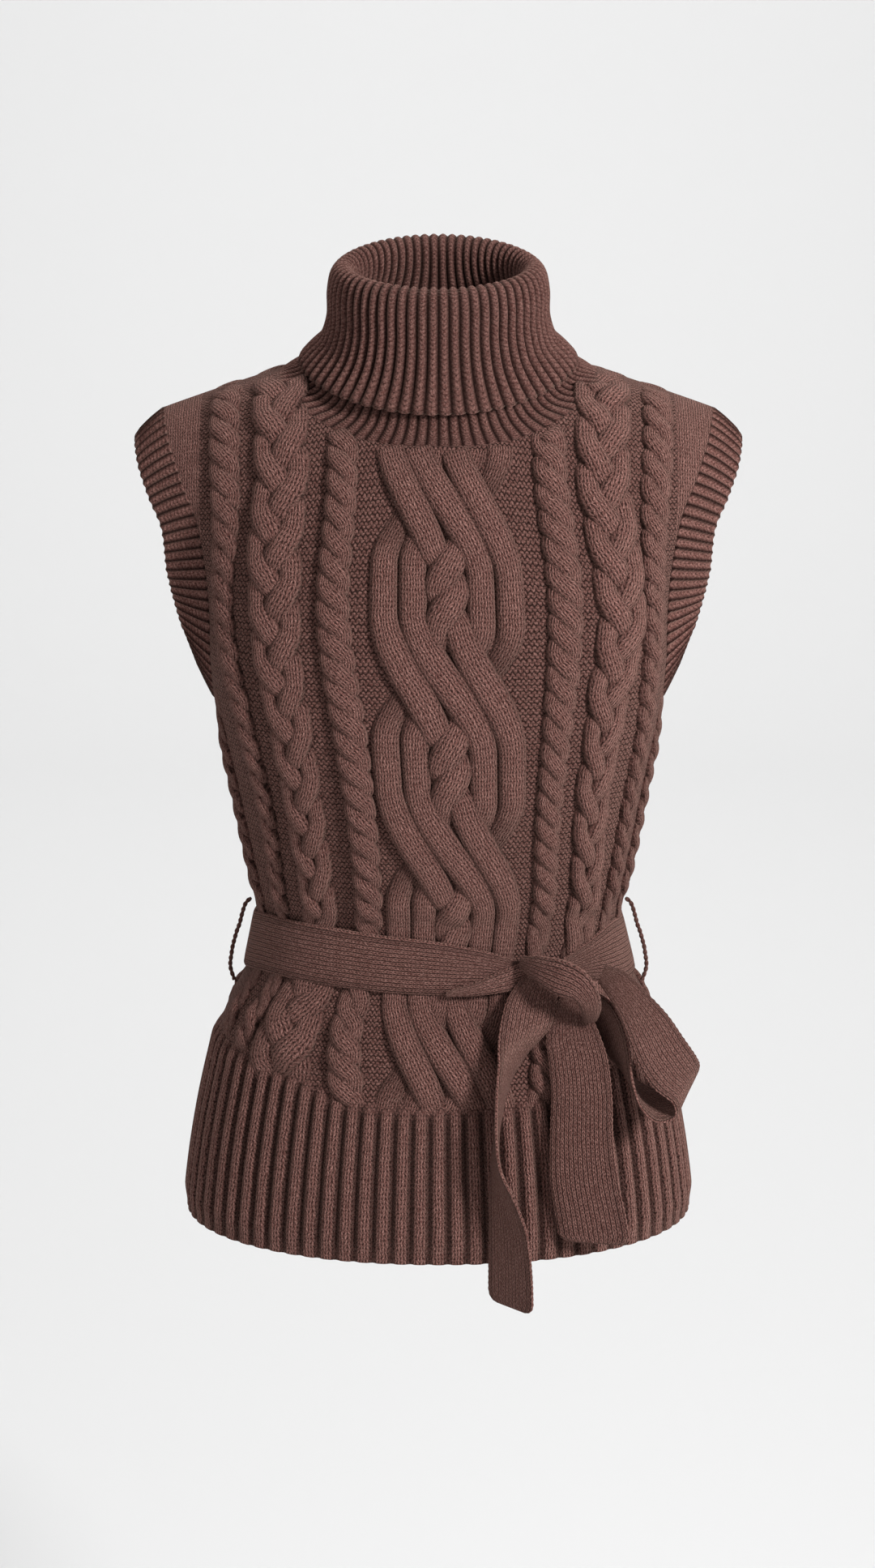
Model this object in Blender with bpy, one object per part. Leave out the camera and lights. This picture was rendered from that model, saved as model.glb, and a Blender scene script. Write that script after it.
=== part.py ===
"""Sleeveless high-neck cable-knit sweater with a tied knit belt, in its hollow worn shape.

Metres, +Z up. The front faces -Y, and +X is to the right as seen from the front. Left and
right in names are as seen from the front too. The origin is the middle of the shoulder line
at the base of the neck, which is where a wearer holds the garment up.

Every piece is a wall of knitted cloth. It starts as a grid of points on the cloth's middle
surface, and gets an outer and an inner skin. Pieces that are sewn together are cut back from
their shared seam by half of SEAM_GAP each, and their cut edges lean the same way, so that
they meet face to face.
"""

import math

import bmesh
import bpy
import numpy as np

# ---- Cloth
CLOTH = 0.003
SEAM_GAP = 0.0003

# ---- Body form. Heights are from the origin, and the form is round about the Z axis.
CHEST = -0.200
HEM = -0.622
UNDERARM = -0.243

# height, half width, front depth, back depth, roundness power
BODY_SECTIONS = (
    (-0.640, 0.1840, 0.128, 0.117, 2.10),
    (-0.602, 0.1805, 0.125, 0.115, 2.10),
    (-0.560, 0.1745, 0.119, 0.111, 2.15),
    (-0.510, 0.1640, 0.110, 0.103, 2.20),
    (-0.480, 0.1560, 0.103, 0.095, 2.25),
    (-0.455, 0.1450, 0.096, 0.086, 2.30),
    (-0.435, 0.1345, 0.091, 0.078, 2.30),
    (-0.415, 0.1285, 0.090, 0.075, 2.30),
    (-0.390, 0.1315, 0.094, 0.077, 2.30),
    (-0.340, 0.1405, 0.107, 0.083, 2.35),
    (-0.290, 0.1485, 0.116, 0.089, 2.55),
    (-0.243, 0.1570, 0.119, 0.095, 2.80),
    (-0.200, 0.1620, 0.116, 0.099, 3.00),
)

# Above the chest the cloth rolls back to the ridge of the shoulders.
ROLL = 0.240
FRONT_ROLL_POWER = 2.2
BACK_ROLL_POWER = 3.0
RIDGE_TOP = 0.015
RIDGE_SLOPE = 0.35
RIDGE_ROUNDING = 0.060
PANEL_HALF_WIDTH = 0.223
SHOULDER_SPREAD = 0.870
UPPER_TAPER = 0.240
UPPER_POWER = 2.4

# ---- Outline of a body panel, in shares of its half width and in levels.
# A level is a height above the chest, and past the chest it runs on along the roll to ROLL.
# level, share of the half width
ARMHOLE = (
    (UNDERARM - CHEST, 1.000),
    (-0.038, 0.935),
    (-0.030, 0.885),
    (-0.015, 0.835),
    (0.005, 0.808),
    (0.035, 0.822),
    (0.060, 0.845),
    (0.090, 0.868),
    (0.125, 0.918),
    (0.160, 0.957),
    (0.200, 0.978),
    (ROLL, 0.985),
)
NECK_SHARE = 0.572
FRONT_NECK_LEVEL = 0.118
BACK_NECK_LEVEL = 0.185
NECK_POWER = 2.3

# ---- Mesh counts of a body panel
SIDE_ROWS = 13
ARMHOLE_ROWS = 12
ARMHOLE_EASE = 1.25
SHOULDER_COLUMNS = 4
NECK_COLUMNS = 14

# ---- Collar: a ribbed tube picked up along the neck seam and folded over once.
# Rings run from the neck seam up the inner layer, over the fold and down the outer layer.
# half width, front y, back y, front z, side z, back z
COLLAR_RINGS = (
    (0.1010, -0.0850, 0.0680, -0.0360, 0.0010, 0.0120),
    (0.0880, -0.0790, 0.0650, -0.0200, 0.0110, 0.0230),
    (0.0720, -0.0690, 0.0610, 0.0050, 0.0260, 0.0400),
    (0.0620, -0.0620, 0.0570, 0.0310, 0.0420, 0.0540),
    (0.0590, -0.0590, 0.0550, 0.0470, 0.0560, 0.0660),
    (0.0610, -0.0610, 0.0580, 0.0560, 0.0650, 0.0750),
    (0.0670, -0.0680, 0.0650, 0.0600, 0.0680, 0.0790),
    (0.0730, -0.0750, 0.0720, 0.0550, 0.0630, 0.0740),
    (0.0755, -0.0780, 0.0745, 0.0430, 0.0500, 0.0610),
    (0.0755, -0.0795, 0.0745, 0.0230, 0.0330, 0.0440),
    (0.0800, -0.0840, 0.0755, 0.0050, 0.0180, 0.0290),
    (0.0890, -0.0905, 0.0775, -0.0120, 0.0070, 0.0190),
    (0.0975, -0.0955, 0.0800, -0.0220, -0.0010, 0.0120),
)
COLLAR_TILT_POWER = 1.3

# ---- Armhole bands: ribbed strips that stand out from the armhole seam.
BAND_WIDTH = 0.0280
BAND_ROWS = 4
BAND_CURL = 0.0010
BAND_TURN_BACK = 0.50
BAND_TOP_DROP = 0.68
BAND_TOP_POWER = 4
BAND_UNDERARM_LIFT = 2.20
BAND_UNDERARM_POWER = 1.5

# ---- Belt: a knitted ribbon round the waist, tied in a half bow at the right of the front.
BELT = 0.0030
BELT_STAND_OFF = 0.0055
BELT_ROWS = 4
BELT_COLUMNS = 54
LAP_STEP = 0.01
# A lap is the way round the waist in panel half widths: 0 at the front middle, 1 at the right
# side seam and -1 at the left one, and on from there along the back.
# lap, top z, bottom z
BELT_LAPS = (
    (-3.520, -0.4130, -0.4290),
    (-3.400, -0.4030, -0.4330),
    (-3.280, -0.3950, -0.4410),
    (-3.000, -0.4000, -0.4470),
    (-2.700, -0.3990, -0.4450),
    (-2.000, -0.3950, -0.4410),
    (-1.300, -0.3970, -0.4430),
    (-1.000, -0.3980, -0.4440),
    (-0.750, -0.3860, -0.4330),
    (-0.450, -0.3840, -0.4310),
    (-0.200, -0.3880, -0.4330),
    (0.050, -0.3940, -0.4340),
    (0.200, -0.4010, -0.4320),
    (0.330, -0.4100, -0.4310),
    (0.450, -0.4160, -0.4290),
)

KNOT_MIDDLE = (0.0855, -0.1100, -0.4210)
KNOT_RADII = (0.0320, 0.0120, 0.0185)
KNOT_SLOPE = math.radians(36)
KNOT_SEGMENTS = 18

# The tails come out from behind the knot. x, y, z, width, turn about the vertical in degrees
TAIL_LEFT = (
    (0.0720, -0.0935, -0.4180, 0.022, 10),
    (0.0655, -0.0985, -0.4340, 0.030, 14),
    (0.0595, -0.1110, -0.4540, 0.036, 28),
    (0.0515, -0.1200, -0.4840, 0.036, 52),
    (0.0440, -0.1270, -0.5180, 0.033, 68),
    (0.0430, -0.1370, -0.5520, 0.034, 66),
    (0.0480, -0.1430, -0.5850, 0.041, 57),
    (0.0505, -0.1460, -0.6180, 0.045, 50),
    (0.0505, -0.1460, -0.6450, 0.045, 48),
)
TAIL_RIGHT = (
    (0.0950, -0.0920, -0.4240, 0.018, 0),
    (0.0950, -0.0955, -0.4420, 0.026, -2),
    (0.0965, -0.1050, -0.4620, 0.038, -4),
    (0.0995, -0.1150, -0.4950, 0.043, -6),
    (0.1010, -0.1220, -0.5350, 0.045, -8),
    (0.1030, -0.1280, -0.5700, 0.046, -9),
    (0.1090, -0.1300, -0.6040, 0.048, -10),
)
TAIL_COLUMNS = 18
TAIL_ROWS = 4
TAIL_CUP = 0.0020

# The bow loop comes out from behind the knot. Its outline is a drop round the line to its tip.
LOOP_START = (0.1125, -0.0850, -0.4300)
LOOP_DOWN = (0.62, -0.14, -0.78)
LOOP_ACROSS = (0.555, 0.733, 0.378)
LOOP_LENGTH = 0.098
LOOP_WIDTH = 0.044
LOOP_NECK = 0.016
LOOP_WIDENING = 2.5
LOOP_FULLNESS = 0.0130
LOOP_NEAR_SHARE = 0.35
LOOP_MOUTH = 0.0050
LOOP_COLUMNS = 30
LOOP_ROWS = 3

# Thread loops at the side seams carry the belt. stand-off from the side seam, z
THREAD_WIDTH = 0.0032
THREAD_LOOP = (
    (0.0022, -0.3900),
    (0.0070, -0.3935),
    (0.0120, -0.4030),
    (0.0150, -0.4150),
    (0.0155, -0.4260),
    (0.0140, -0.4370),
    (0.0100, -0.4470),
    (0.0022, -0.4540),
)
THREAD_POINTS = 20

# ---- Finish
YARN_COLOUR = (0.155, 0.070, 0.062, 1.0)
YARN_ROUGHNESS = 0.95
SHARP_EDGE = math.radians(50)


# ---- Reading tables and curves
def read_table(rows, column, at):
    """One column of a table against its first column, on a smooth curve through the rows."""
    keys = np.array([row[0] for row in rows])
    values = np.array([row[column] for row in rows])
    slopes = np.gradient(values, keys)
    at = np.clip(at, keys[0], keys[-1])
    low = np.clip(np.searchsorted(keys, at) - 1, 0, len(keys) - 2)
    step = keys[low + 1] - keys[low]
    part = (at - keys[low]) / step
    value = (1 + 2 * part) * (1 - part) ** 2 * values[low]
    value += part * (1 - part) ** 2 * step * slopes[low]
    value += part**2 * (3 - 2 * part) * values[low + 1]
    value -= part**2 * (1 - part) * step * slopes[low + 1]
    return value


def smooth_rows(rows, count):
    """Every column of a table, read at evenly spaced places on a smooth curve."""
    numbered = [(index, *row) for index, row in enumerate(rows)]
    at = np.linspace(0.0, len(rows) - 1.0, count)
    columns = [read_table(numbered, column, at) for column in range(1, len(numbered[0]))]
    return np.stack(columns, axis=1)


def ease(share):
    """A smooth step from 0 to 1."""
    share = np.clip(share, 0.0, 1.0)
    return share * share * (3 - 2 * share)


def unit(vector):
    return vector / np.maximum(np.linalg.norm(vector, axis=-1, keepdims=True), 1e-12)


# ---- Body form
def section_point(half_width, depth, power, share):
    """A point on a quarter of a rounded section, by its share of the way from middle to side."""
    turn = np.linspace(0.0, math.pi / 2, 121)
    x = half_width * np.sin(turn) ** (2 / power)
    y = depth * np.cos(turn) ** (2 / power)
    length = np.concatenate([[0.0], np.cumsum(np.hypot(np.diff(x), np.diff(y)))])
    at = min(abs(share), 1.0) * length[-1]
    return math.copysign(np.interp(at, length, x), share), np.interp(at, length, y)


def ridge_height(x):
    """The height of the shoulder ridge."""
    return RIDGE_TOP - RIDGE_SLOPE * (math.hypot(x, RIDGE_ROUNDING) - RIDGE_ROUNDING)


def body_point(front, share, level):
    """A point on the cloth's middle surface, by its share of the half width and its level."""
    height = CHEST + min(level, 0.0)
    half_width = read_table(BODY_SECTIONS, 1, height)
    depth = read_table(BODY_SECTIONS, 2 if front else 3, height)
    power = read_table(BODY_SECTIONS, 4, height)
    x, y = section_point(half_width, depth, power, share)
    if level > 0.0:
        rise = level / ROLL
        roll_power = FRONT_ROLL_POWER if front else BACK_ROLL_POWER
        across = share * PANEL_HALF_WIDTH
        taper = max(1.0 - abs(across / UPPER_TAPER) ** UPPER_POWER, 0.0)
        upper_y = depth * taper ** (1 / UPPER_POWER)
        x += (SHOULDER_SPREAD * across - x) * ease(2 * rise)
        y += (upper_y - y) * ease(2 * rise)
        turn = rise * math.pi / 2
        y *= math.cos(turn) ** (2 / roll_power) if rise < 1.0 else 0.0
        height += (ridge_height(x) - CHEST) * math.sin(turn) ** (2 / roll_power)
    return np.array([x, -y if front else y, height])


# ---- Body panels. Their outlines are points of (share, level).
def side_edge():
    """The side seam from the hem to the underarm, and the armhole from there to the shoulder."""
    underarm = UNDERARM - CHEST
    seam = [(1.0, level) for level in np.linspace(HEM - CHEST, underarm, SIDE_ROWS + 1)]
    climb = np.linspace(0.0, 1.0, ARMHOLE_ROWS + 1) ** ARMHOLE_EASE
    levels = underarm + (ROLL - underarm) * climb
    arm = [(read_table(ARMHOLE, 1, level), level) for level in levels]
    return np.array(seam[:-1] + arm)


def top_edge(front):
    """The left shoulder, the neckline and the right shoulder."""
    tip = ARMHOLE[-1][1]
    shoulder = [(-share, ROLL) for share in np.linspace(tip, NECK_SHARE, SHOULDER_COLUMNS + 1)]
    lowest = FRONT_NECK_LEVEL if front else BACK_NECK_LEVEL
    neck = []
    for turn in np.linspace(0.0, math.pi, NECK_COLUMNS + 1):
        across = -math.copysign(abs(math.cos(turn)) ** (2 / NECK_POWER), math.cos(turn))
        drop = math.sin(turn) ** (2 / NECK_POWER)
        neck.append((NECK_SHARE * across, ROLL - (ROLL - lowest) * drop))
    other = [(-share, level) for share, level in reversed(shoulder)]
    return np.array(shoulder[:-1] + neck + other[1:])


def panel_grid(front):
    """The middle surface of a panel: its outline filled evenly, rows from the hem upwards."""
    right = side_edge()
    left = right * (-1.0, 1.0)
    top = top_edge(front)
    bottom = np.linspace(left[0], right[0], len(top))
    across = np.linspace(0.0, 1.0, len(top))[None, :, None]
    up = np.linspace(0.0, 1.0, len(right))[:, None, None]
    filled = (1 - up) * bottom[None] + up * top[None]
    filled = filled + (1 - across) * left[:, None] + across * right[:, None]
    filled = filled - (1 - up) * ((1 - across) * bottom[0] + across * bottom[-1])
    filled = filled - up * ((1 - across) * top[0] + across * top[-1])
    return np.array([[body_point(front, *cell) for cell in row] for row in filled])


# ---- Collar and armhole bands. Each is a ring of points for every row.
def neck_seam(front_grid, back_grid):
    """The neck seam from the left shoulder along the front, and back behind."""
    columns = slice(SHOULDER_COLUMNS, SHOULDER_COLUMNS + NECK_COLUMNS + 1)
    return np.concatenate([front_grid[-1, columns], back_grid[-1, columns][::-1][1:-1]])


def arm_seam(front_grid, back_grid, column):
    """An armhole seam from the underarm up the front, and down the back."""
    rows = slice(SIDE_ROWS, None)
    return np.concatenate([front_grid[rows, column], back_grid[rows, column][::-1][1:-1]])


def collar_grid(seam):
    """The collar's rings above the neck seam, each turned to the seam's own points."""
    depth = np.where(seam[:, 1] < 0, -seam[:, 1].min(), seam[:, 1].max())
    turn = np.arctan2(seam[:, 0] / seam[:, 0].max(), -seam[:, 1] / depth)
    forward = np.maximum(np.cos(turn), 0.0)
    backward = np.maximum(-np.cos(turn), 0.0)
    rings = [seam]
    for half_width, front_y, back_y, front_z, side_z, back_z in COLLAR_RINGS:
        x = half_width * np.sin(turn)
        y = front_y * forward + back_y * backward
        z = side_z + (front_z - side_z) * forward**COLLAR_TILT_POWER
        z += (back_z - side_z) * backward**COLLAR_TILT_POWER
        rings.append(np.stack([x, y, z], axis=1))
    return np.array(rings)


def band_grid(seam, sign):
    """Rows of an armhole band, from the seam outwards. sign is +1 on the right."""
    spoke = seam - (seam[0] + seam[ARMHOLE_ROWS]) / 2
    up = spoke[:, 2] / np.abs(spoke[:, 2]).max()
    fore = spoke[:, 1] / np.abs(spoke[:, 1]).max()
    drop = BAND_TOP_DROP * np.maximum(up, 0.0) ** BAND_TOP_POWER
    lift = BAND_UNDERARM_LIFT * np.maximum(-up, 0.0) ** BAND_UNDERARM_POWER
    out = unit(np.stack([np.full(len(seam), sign), -BAND_TURN_BACK * fore, lift - drop], axis=1))
    rows = []
    for share in np.linspace(0.0, 1.0, BAND_ROWS + 1):
        curl = BAND_CURL * math.sin(math.pi * share)
        rows.append(seam + share * BAND_WIDTH * out + curl * unit(spoke))
    return np.array(rows)


# ---- Walls of cloth
def grid_normals(grid, around):
    """Unit normals of a grid of points, whose columns may close into a ring."""
    if around:
        along = np.roll(grid, -1, axis=1) - np.roll(grid, 1, axis=1)
    else:
        along = np.gradient(grid, axis=1)
    return unit(np.cross(along, np.gradient(grid, axis=0)))


def share_seam_normals(pieces):
    """Gives pieces that meet at a point the same normal there, so that their edges match."""
    totals = {}
    for grid, normals in pieces:
        for place, normal in zip(grid.reshape(-1, 3), normals.reshape(-1, 3)):
            key = tuple(np.round(place, 5) + 0.0)
            totals[key] = totals.get(key, 0.0) + normal
    for grid, normals in pieces:
        for place, normal in zip(grid.reshape(-1, 3), normals.reshape(-1, 3)):
            normal[:] = unit(totals[tuple(np.round(place, 5) + 0.0)])


def cut_back(grid, top_and_sides):
    """Moves a grid's sewn edges back from their seam: its top and sides, or its bottom."""
    moved = grid.copy()
    half = SEAM_GAP / 2
    if top_and_sides:
        moved[-1] += half * unit(grid[-2] - grid[-1])
        moved[:, 0] += half * unit(grid[:, 1] - grid[:, 0])
        moved[:, -1] += half * unit(grid[:, -2] - grid[:, -1])
    else:
        moved[0] += half * unit(grid[1] - grid[0])
    return moved


def rims(rows, columns, around):
    """The open edges of a grid, as pairs of neighbouring (row, column) places."""
    pairs = []
    for row in (0, rows - 1):
        for column in range(columns if around else columns - 1):
            pairs.append(((row, column), (row, (column + 1) % columns)))
    if not around:
        for column in (0, columns - 1):
            for row in range(rows - 1):
                pairs.append(((row, column), (row + 1, column)))
    return pairs


def cloth_wall(name, grid, normals, around):
    """A closed wall: an outer and an inner skin, joined round the open edges."""
    rows, columns = grid.shape[:2]
    mesh = bmesh.new()
    outer, inner = (
        [[mesh.verts.new(point) for point in row] for row in grid + side * CLOTH * normals]
        for side in (0.5, -0.5)
    )
    for row in range(rows - 1):
        for column in range(columns if around else columns - 1):
            after = (column + 1) % columns
            for skin in (outer, inner):
                low = (skin[row][column], skin[row][after])
                mesh.faces.new(low + (skin[row + 1][after], skin[row + 1][column]))
    for (row, column), (next_row, next_column) in rims(rows, columns, around):
        edge = (outer[row][column], outer[next_row][next_column])
        mesh.faces.new(edge + (inner[next_row][next_column], inner[row][column]))
    bmesh.ops.triangulate(mesh, faces=mesh.faces)
    bmesh.ops.recalc_face_normals(mesh, faces=mesh.faces)
    if mesh.calc_volume(signed=True) < 0.0:
        bmesh.ops.reverse_faces(mesh, faces=mesh.faces)
    return add_object(name, mesh)


def body_pieces():
    """The two body panels, the collar and the armhole bands, which share their seams."""
    front = panel_grid(True)
    back = panel_grid(False)
    collar = collar_grid(neck_seam(front, back))
    left_band = band_grid(arm_seam(front, back, 0), -1.0)
    right_band = band_grid(arm_seam(front, back, -1), 1.0)
    # name, grid, its outward side, and whether its columns close into a ring
    pieces = (
        ("front_panel", front, 1.0, False),
        ("back_panel", back, -1.0, False),
        ("collar", collar, 1.0, True),
        ("armhole_band_left", left_band, 1.0, True),
        ("armhole_band_right", right_band, -1.0, True),
    )
    normals = [side * grid_normals(grid, around) for _, grid, side, around in pieces]
    share_seam_normals([(piece[1], normal) for piece, normal in zip(pieces, normals)])
    for (name, grid, _, around), normal in zip(pieces, normals):
        cloth_wall(name, cut_back(grid, top_and_sides=not around), normal, around)


# ---- Belt
def lap_point(lap, height, stand_off):
    """A point outside the body panels, by its lap round the waist and its height."""
    level = height - CHEST
    turned = (lap + 1.0) % 4.0 - 1.0
    front = turned <= 1.0
    share = turned if front else 2.0 - turned
    low = body_point(front, max(share - LAP_STEP, -1.0), level)
    high = body_point(front, min(share + LAP_STEP, 1.0), level)
    out = np.cross(high - low, (0.0, 0.0, 1.0 if front else -1.0))
    return body_point(front, share, level) + stand_off * unit(out)


def ribbon(name, grid):
    """A strip of belt from a grid of middle points, given its thickness by Solidify."""
    mesh = bmesh.new()
    points = [[mesh.verts.new(point) for point in row] for row in grid]
    for row, after in zip(points, points[1:]):
        for column in range(len(row) - 1):
            mesh.faces.new((row[column], row[column + 1], after[column + 1], after[column]))
    bmesh.ops.triangulate(mesh, faces=mesh.faces)
    solidify = add_object(name, mesh).modifiers.new("thickness", "SOLIDIFY")
    solidify.thickness = BELT
    solidify.offset = 0.0


def belt_wrap():
    """The belt round the waist, from the knot round the back and on to the knot again."""
    laps = np.linspace(BELT_LAPS[0][0], BELT_LAPS[-1][0], BELT_COLUMNS)
    top = read_table(BELT_LAPS, 1, laps)
    bottom = read_table(BELT_LAPS, 2, laps)
    rows = []
    for share in np.linspace(0.0, 1.0, BELT_ROWS):
        heights = bottom + share * (top - bottom)
        rows.append([lap_point(*place, BELT_STAND_OFF) for place in zip(laps, heights)])
    ribbon("belt_wrap", np.array(rows))


def knot():
    """The tied knot as one soft lump that slopes down to the right."""
    mesh = bmesh.new()
    bmesh.ops.create_uvsphere(
        mesh, u_segments=KNOT_SEGMENTS, v_segments=KNOT_SEGMENTS // 2, radius=1.0
    )
    bmesh.ops.triangulate(mesh, faces=mesh.faces)
    bmesh.ops.scale(mesh, vec=KNOT_RADII, verts=mesh.verts)
    made = add_object("belt_knot", mesh)
    made.location = KNOT_MIDDLE
    made.rotation_euler = (0.0, KNOT_SLOPE, 0.0)


def bow_loop():
    """The bow's one loop, a ribbon that leaves the knot, turns at its tip and comes back."""
    down = unit(np.array(LOOP_DOWN))
    across = unit(np.array(LOOP_ACROSS))
    fore = np.cross(down, across)
    turn = np.linspace(0.0, 2 * math.pi, LOOP_COLUMNS)
    reach = (1 - np.cos(turn)) / 2
    swell = np.sin(turn) * LOOP_FULLNESS * (LOOP_NEAR_SHARE + reach)
    swell += LOOP_MOUTH / 2 * np.cos(turn / 2)
    path = np.array(LOOP_START) + LOOP_LENGTH * reach[:, None] * down + swell[:, None] * fore
    width = LOOP_NECK + (LOOP_WIDTH - LOOP_NECK) * ease(LOOP_WIDENING * reach)
    spread = width[:, None] * across
    shares = np.linspace(-0.5, 0.5, LOOP_ROWS)
    ribbon("belt_bow_loop", np.array([path + share * spread for share in shares]))


def tail(name, rows):
    """A hanging end of the belt, turned about the vertical and slightly cupped."""
    placed = smooth_rows(rows, TAIL_COLUMNS)
    turn = np.radians(placed[:, 4])
    level = np.zeros(len(turn))
    across = np.stack([np.cos(turn), np.sin(turn), level], axis=1)
    outward = np.stack([np.sin(turn), -np.cos(turn), level], axis=1)
    grid = []
    for share in np.linspace(-0.5, 0.5, TAIL_ROWS):
        cup = TAIL_CUP * (1 - (2 * share) ** 2)
        grid.append(placed[:, :3] + share * placed[:, 3:4] * across + cup * outward)
    ribbon(name, np.array(grid))


def thread_loop(name, lap):
    """A cord of twisted yarn that stands off one side seam and holds the belt up."""
    curve = bpy.data.curves.new(name, "CURVE")
    curve.dimensions = "3D"
    curve.bevel_depth = THREAD_WIDTH / 2
    curve.bevel_resolution = 2
    curve.use_fill_caps = True
    curve.materials.append(yarn_material())
    spline = curve.splines.new("POLY")
    spline.points.add(THREAD_POINTS - 1)
    for point, (stand_off, height) in zip(spline.points, smooth_rows(THREAD_LOOP, THREAD_POINTS)):
        point.co = (*lap_point(lap, height, CLOTH / 2 + stand_off), 1.0)
    made = bpy.data.objects.new(name, curve)
    bpy.context.scene.collection.objects.link(made)


def belt_pieces():
    belt_wrap()
    knot()
    bow_loop()
    tail("belt_tail_left", TAIL_LEFT)
    tail("belt_tail_right", TAIL_RIGHT)
    thread_loop("belt_loop_left", -1.0)
    thread_loop("belt_loop_right", 1.0)


# ---- Scene
def yarn_material():
    """Matt mauve-brown wool, made once and shared by every piece."""
    found = bpy.data.materials.get("yarn")
    if found:
        return found
    made = bpy.data.materials.new("yarn")
    made.use_nodes = True
    shader = made.node_tree.nodes["Principled BSDF"]
    shader.inputs["Base Color"].default_value = YARN_COLOUR
    shader.inputs["Roughness"].default_value = YARN_ROUGHNESS
    shader.inputs["Metallic"].default_value = 0.0
    return made


def add_object(name, mesh):
    """Puts a finished mesh in the scene as a smooth-shaded object of knitted yarn."""
    data = bpy.data.meshes.new(name)
    mesh.to_mesh(data)
    mesh.free()
    data.shade_smooth()
    data.set_sharp_from_angle(angle=SHARP_EDGE)
    data.materials.append(yarn_material())
    made = bpy.data.objects.new(name, data)
    bpy.context.scene.collection.objects.link(made)
    return made


def main():
    for found in list(bpy.data.objects):
        bpy.data.objects.remove(found)
    body_pieces()
    belt_pieces()


main()
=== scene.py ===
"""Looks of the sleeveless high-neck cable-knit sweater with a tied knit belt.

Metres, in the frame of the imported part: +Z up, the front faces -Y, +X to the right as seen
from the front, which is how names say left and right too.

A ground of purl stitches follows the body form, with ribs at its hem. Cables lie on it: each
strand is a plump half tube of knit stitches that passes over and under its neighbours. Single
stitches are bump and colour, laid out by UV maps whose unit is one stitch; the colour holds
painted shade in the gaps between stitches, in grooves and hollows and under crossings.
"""

import math
from functools import partialmethod

import bpy
import numpy as np
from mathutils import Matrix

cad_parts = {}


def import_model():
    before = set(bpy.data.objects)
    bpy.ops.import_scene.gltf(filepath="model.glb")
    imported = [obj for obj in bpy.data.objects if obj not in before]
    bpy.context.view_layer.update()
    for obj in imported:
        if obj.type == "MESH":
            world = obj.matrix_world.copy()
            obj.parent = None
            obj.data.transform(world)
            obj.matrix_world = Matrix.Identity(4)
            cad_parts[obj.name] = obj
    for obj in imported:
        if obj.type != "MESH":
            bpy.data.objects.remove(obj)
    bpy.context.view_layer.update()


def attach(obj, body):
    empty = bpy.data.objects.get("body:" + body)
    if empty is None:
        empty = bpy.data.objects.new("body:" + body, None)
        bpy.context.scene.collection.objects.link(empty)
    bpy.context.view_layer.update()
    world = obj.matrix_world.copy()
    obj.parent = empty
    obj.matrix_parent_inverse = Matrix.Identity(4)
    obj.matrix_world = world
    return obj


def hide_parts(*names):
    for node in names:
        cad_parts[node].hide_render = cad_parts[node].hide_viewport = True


# ---- Body form, the same as in the part. Heights are from the origin.
CHEST = -0.2
HEM = -0.622
UNDERARM = -0.243

# height, half width, front depth, back depth, roundness power
BODY_SECTIONS = (
    (-0.64, 0.184, 0.128, 0.117, 2.1), (-0.602, 0.1805, 0.125, 0.115, 2.1),
    (-0.56, 0.1745, 0.119, 0.111, 2.15), (-0.51, 0.164, 0.11, 0.103, 2.2),
    (-0.48, 0.156, 0.103, 0.095, 2.25), (-0.455, 0.145, 0.096, 0.086, 2.3),
    (-0.435, 0.1345, 0.091, 0.078, 2.3), (-0.415, 0.1285, 0.09, 0.075, 2.3),
    (-0.39, 0.1315, 0.094, 0.077, 2.3), (-0.34, 0.1405, 0.107, 0.083, 2.35),
    (-0.29, 0.1485, 0.116, 0.089, 2.55), (-0.243, 0.157, 0.119, 0.095, 2.8),
    (-0.2, 0.162, 0.116, 0.099, 3.0),
)
ROLL = 0.24
FRONT_ROLL_POWER = 2.2
BACK_ROLL_POWER = 3.0
RIDGE_TOP = 0.015
RIDGE_SLOPE = 0.35
RIDGE_ROUNDING = 0.06
PANEL_HALF_WIDTH = 0.223
SHOULDER_SPREAD = 0.87
UPPER_TAPER = 0.24
UPPER_POWER = 2.4

# level, share of the half width
ARMHOLE = (
    (UNDERARM - CHEST, 1.0), (-0.038, 0.935), (-0.03, 0.885), (-0.015, 0.835), (0.005, 0.808),
    (0.035, 0.822), (0.06, 0.845), (0.09, 0.868), (0.125, 0.918), (0.16, 0.957), (0.2, 0.978),
    (ROLL, 0.985),
)
NECK_SHARE = 0.572
FRONT_NECK_LEVEL = 0.118
BACK_NECK_LEVEL = 0.185
NECK_POWER = 2.3

# The fine lattice that the body form is read from
LATTICE_SHARES = 401
LATTICE_LEVEL_STEP = 0.001
LATTICE_BOTTOM = -0.44
SECTION_SAMPLES = 721

# ---- Stitches
ROW = 0.0033
RIBS = 37
COLUMNS_PER_RIB = 3
RIB_SAMPLES = 8
GROUND_ROW = 0.0032

# ---- Ground
GROUND_LIFT = 0.0008
RIB_LIFT = 0.0042
RIB_SHARE = 0.78
RIB_FLANK = (3, 0.6)
RIB_SHADE_POWER = 1.5
RIB_FOOT = 0.02
GROOVE_SHADE = 0.16
PURL_SHADE = 0.66
# share and level past which the ground is plain
PLAIN_STRIP = (0.845, 0.072)
PLAIN_SHADE = 0.92
STITCH_COUNT_SHARE = 0.7
RIB_FADE = 0.016
# share, level of the ribs' top end
RIB_TOP = (
    (0.0, -0.315), (0.28, -0.312), (0.48, -0.298), (0.68, -0.29), (1.0, -0.285),
)
HEM_RELIEF = 0.28
HEM_RELIEF_EASE = 0.018
HEM_TURN_DROP = 0.7
HEM_TURN_STEPS = 7
HEM_INSIDE_DEPTH = 0.0022
HEM_INSIDE = 0.012

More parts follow.
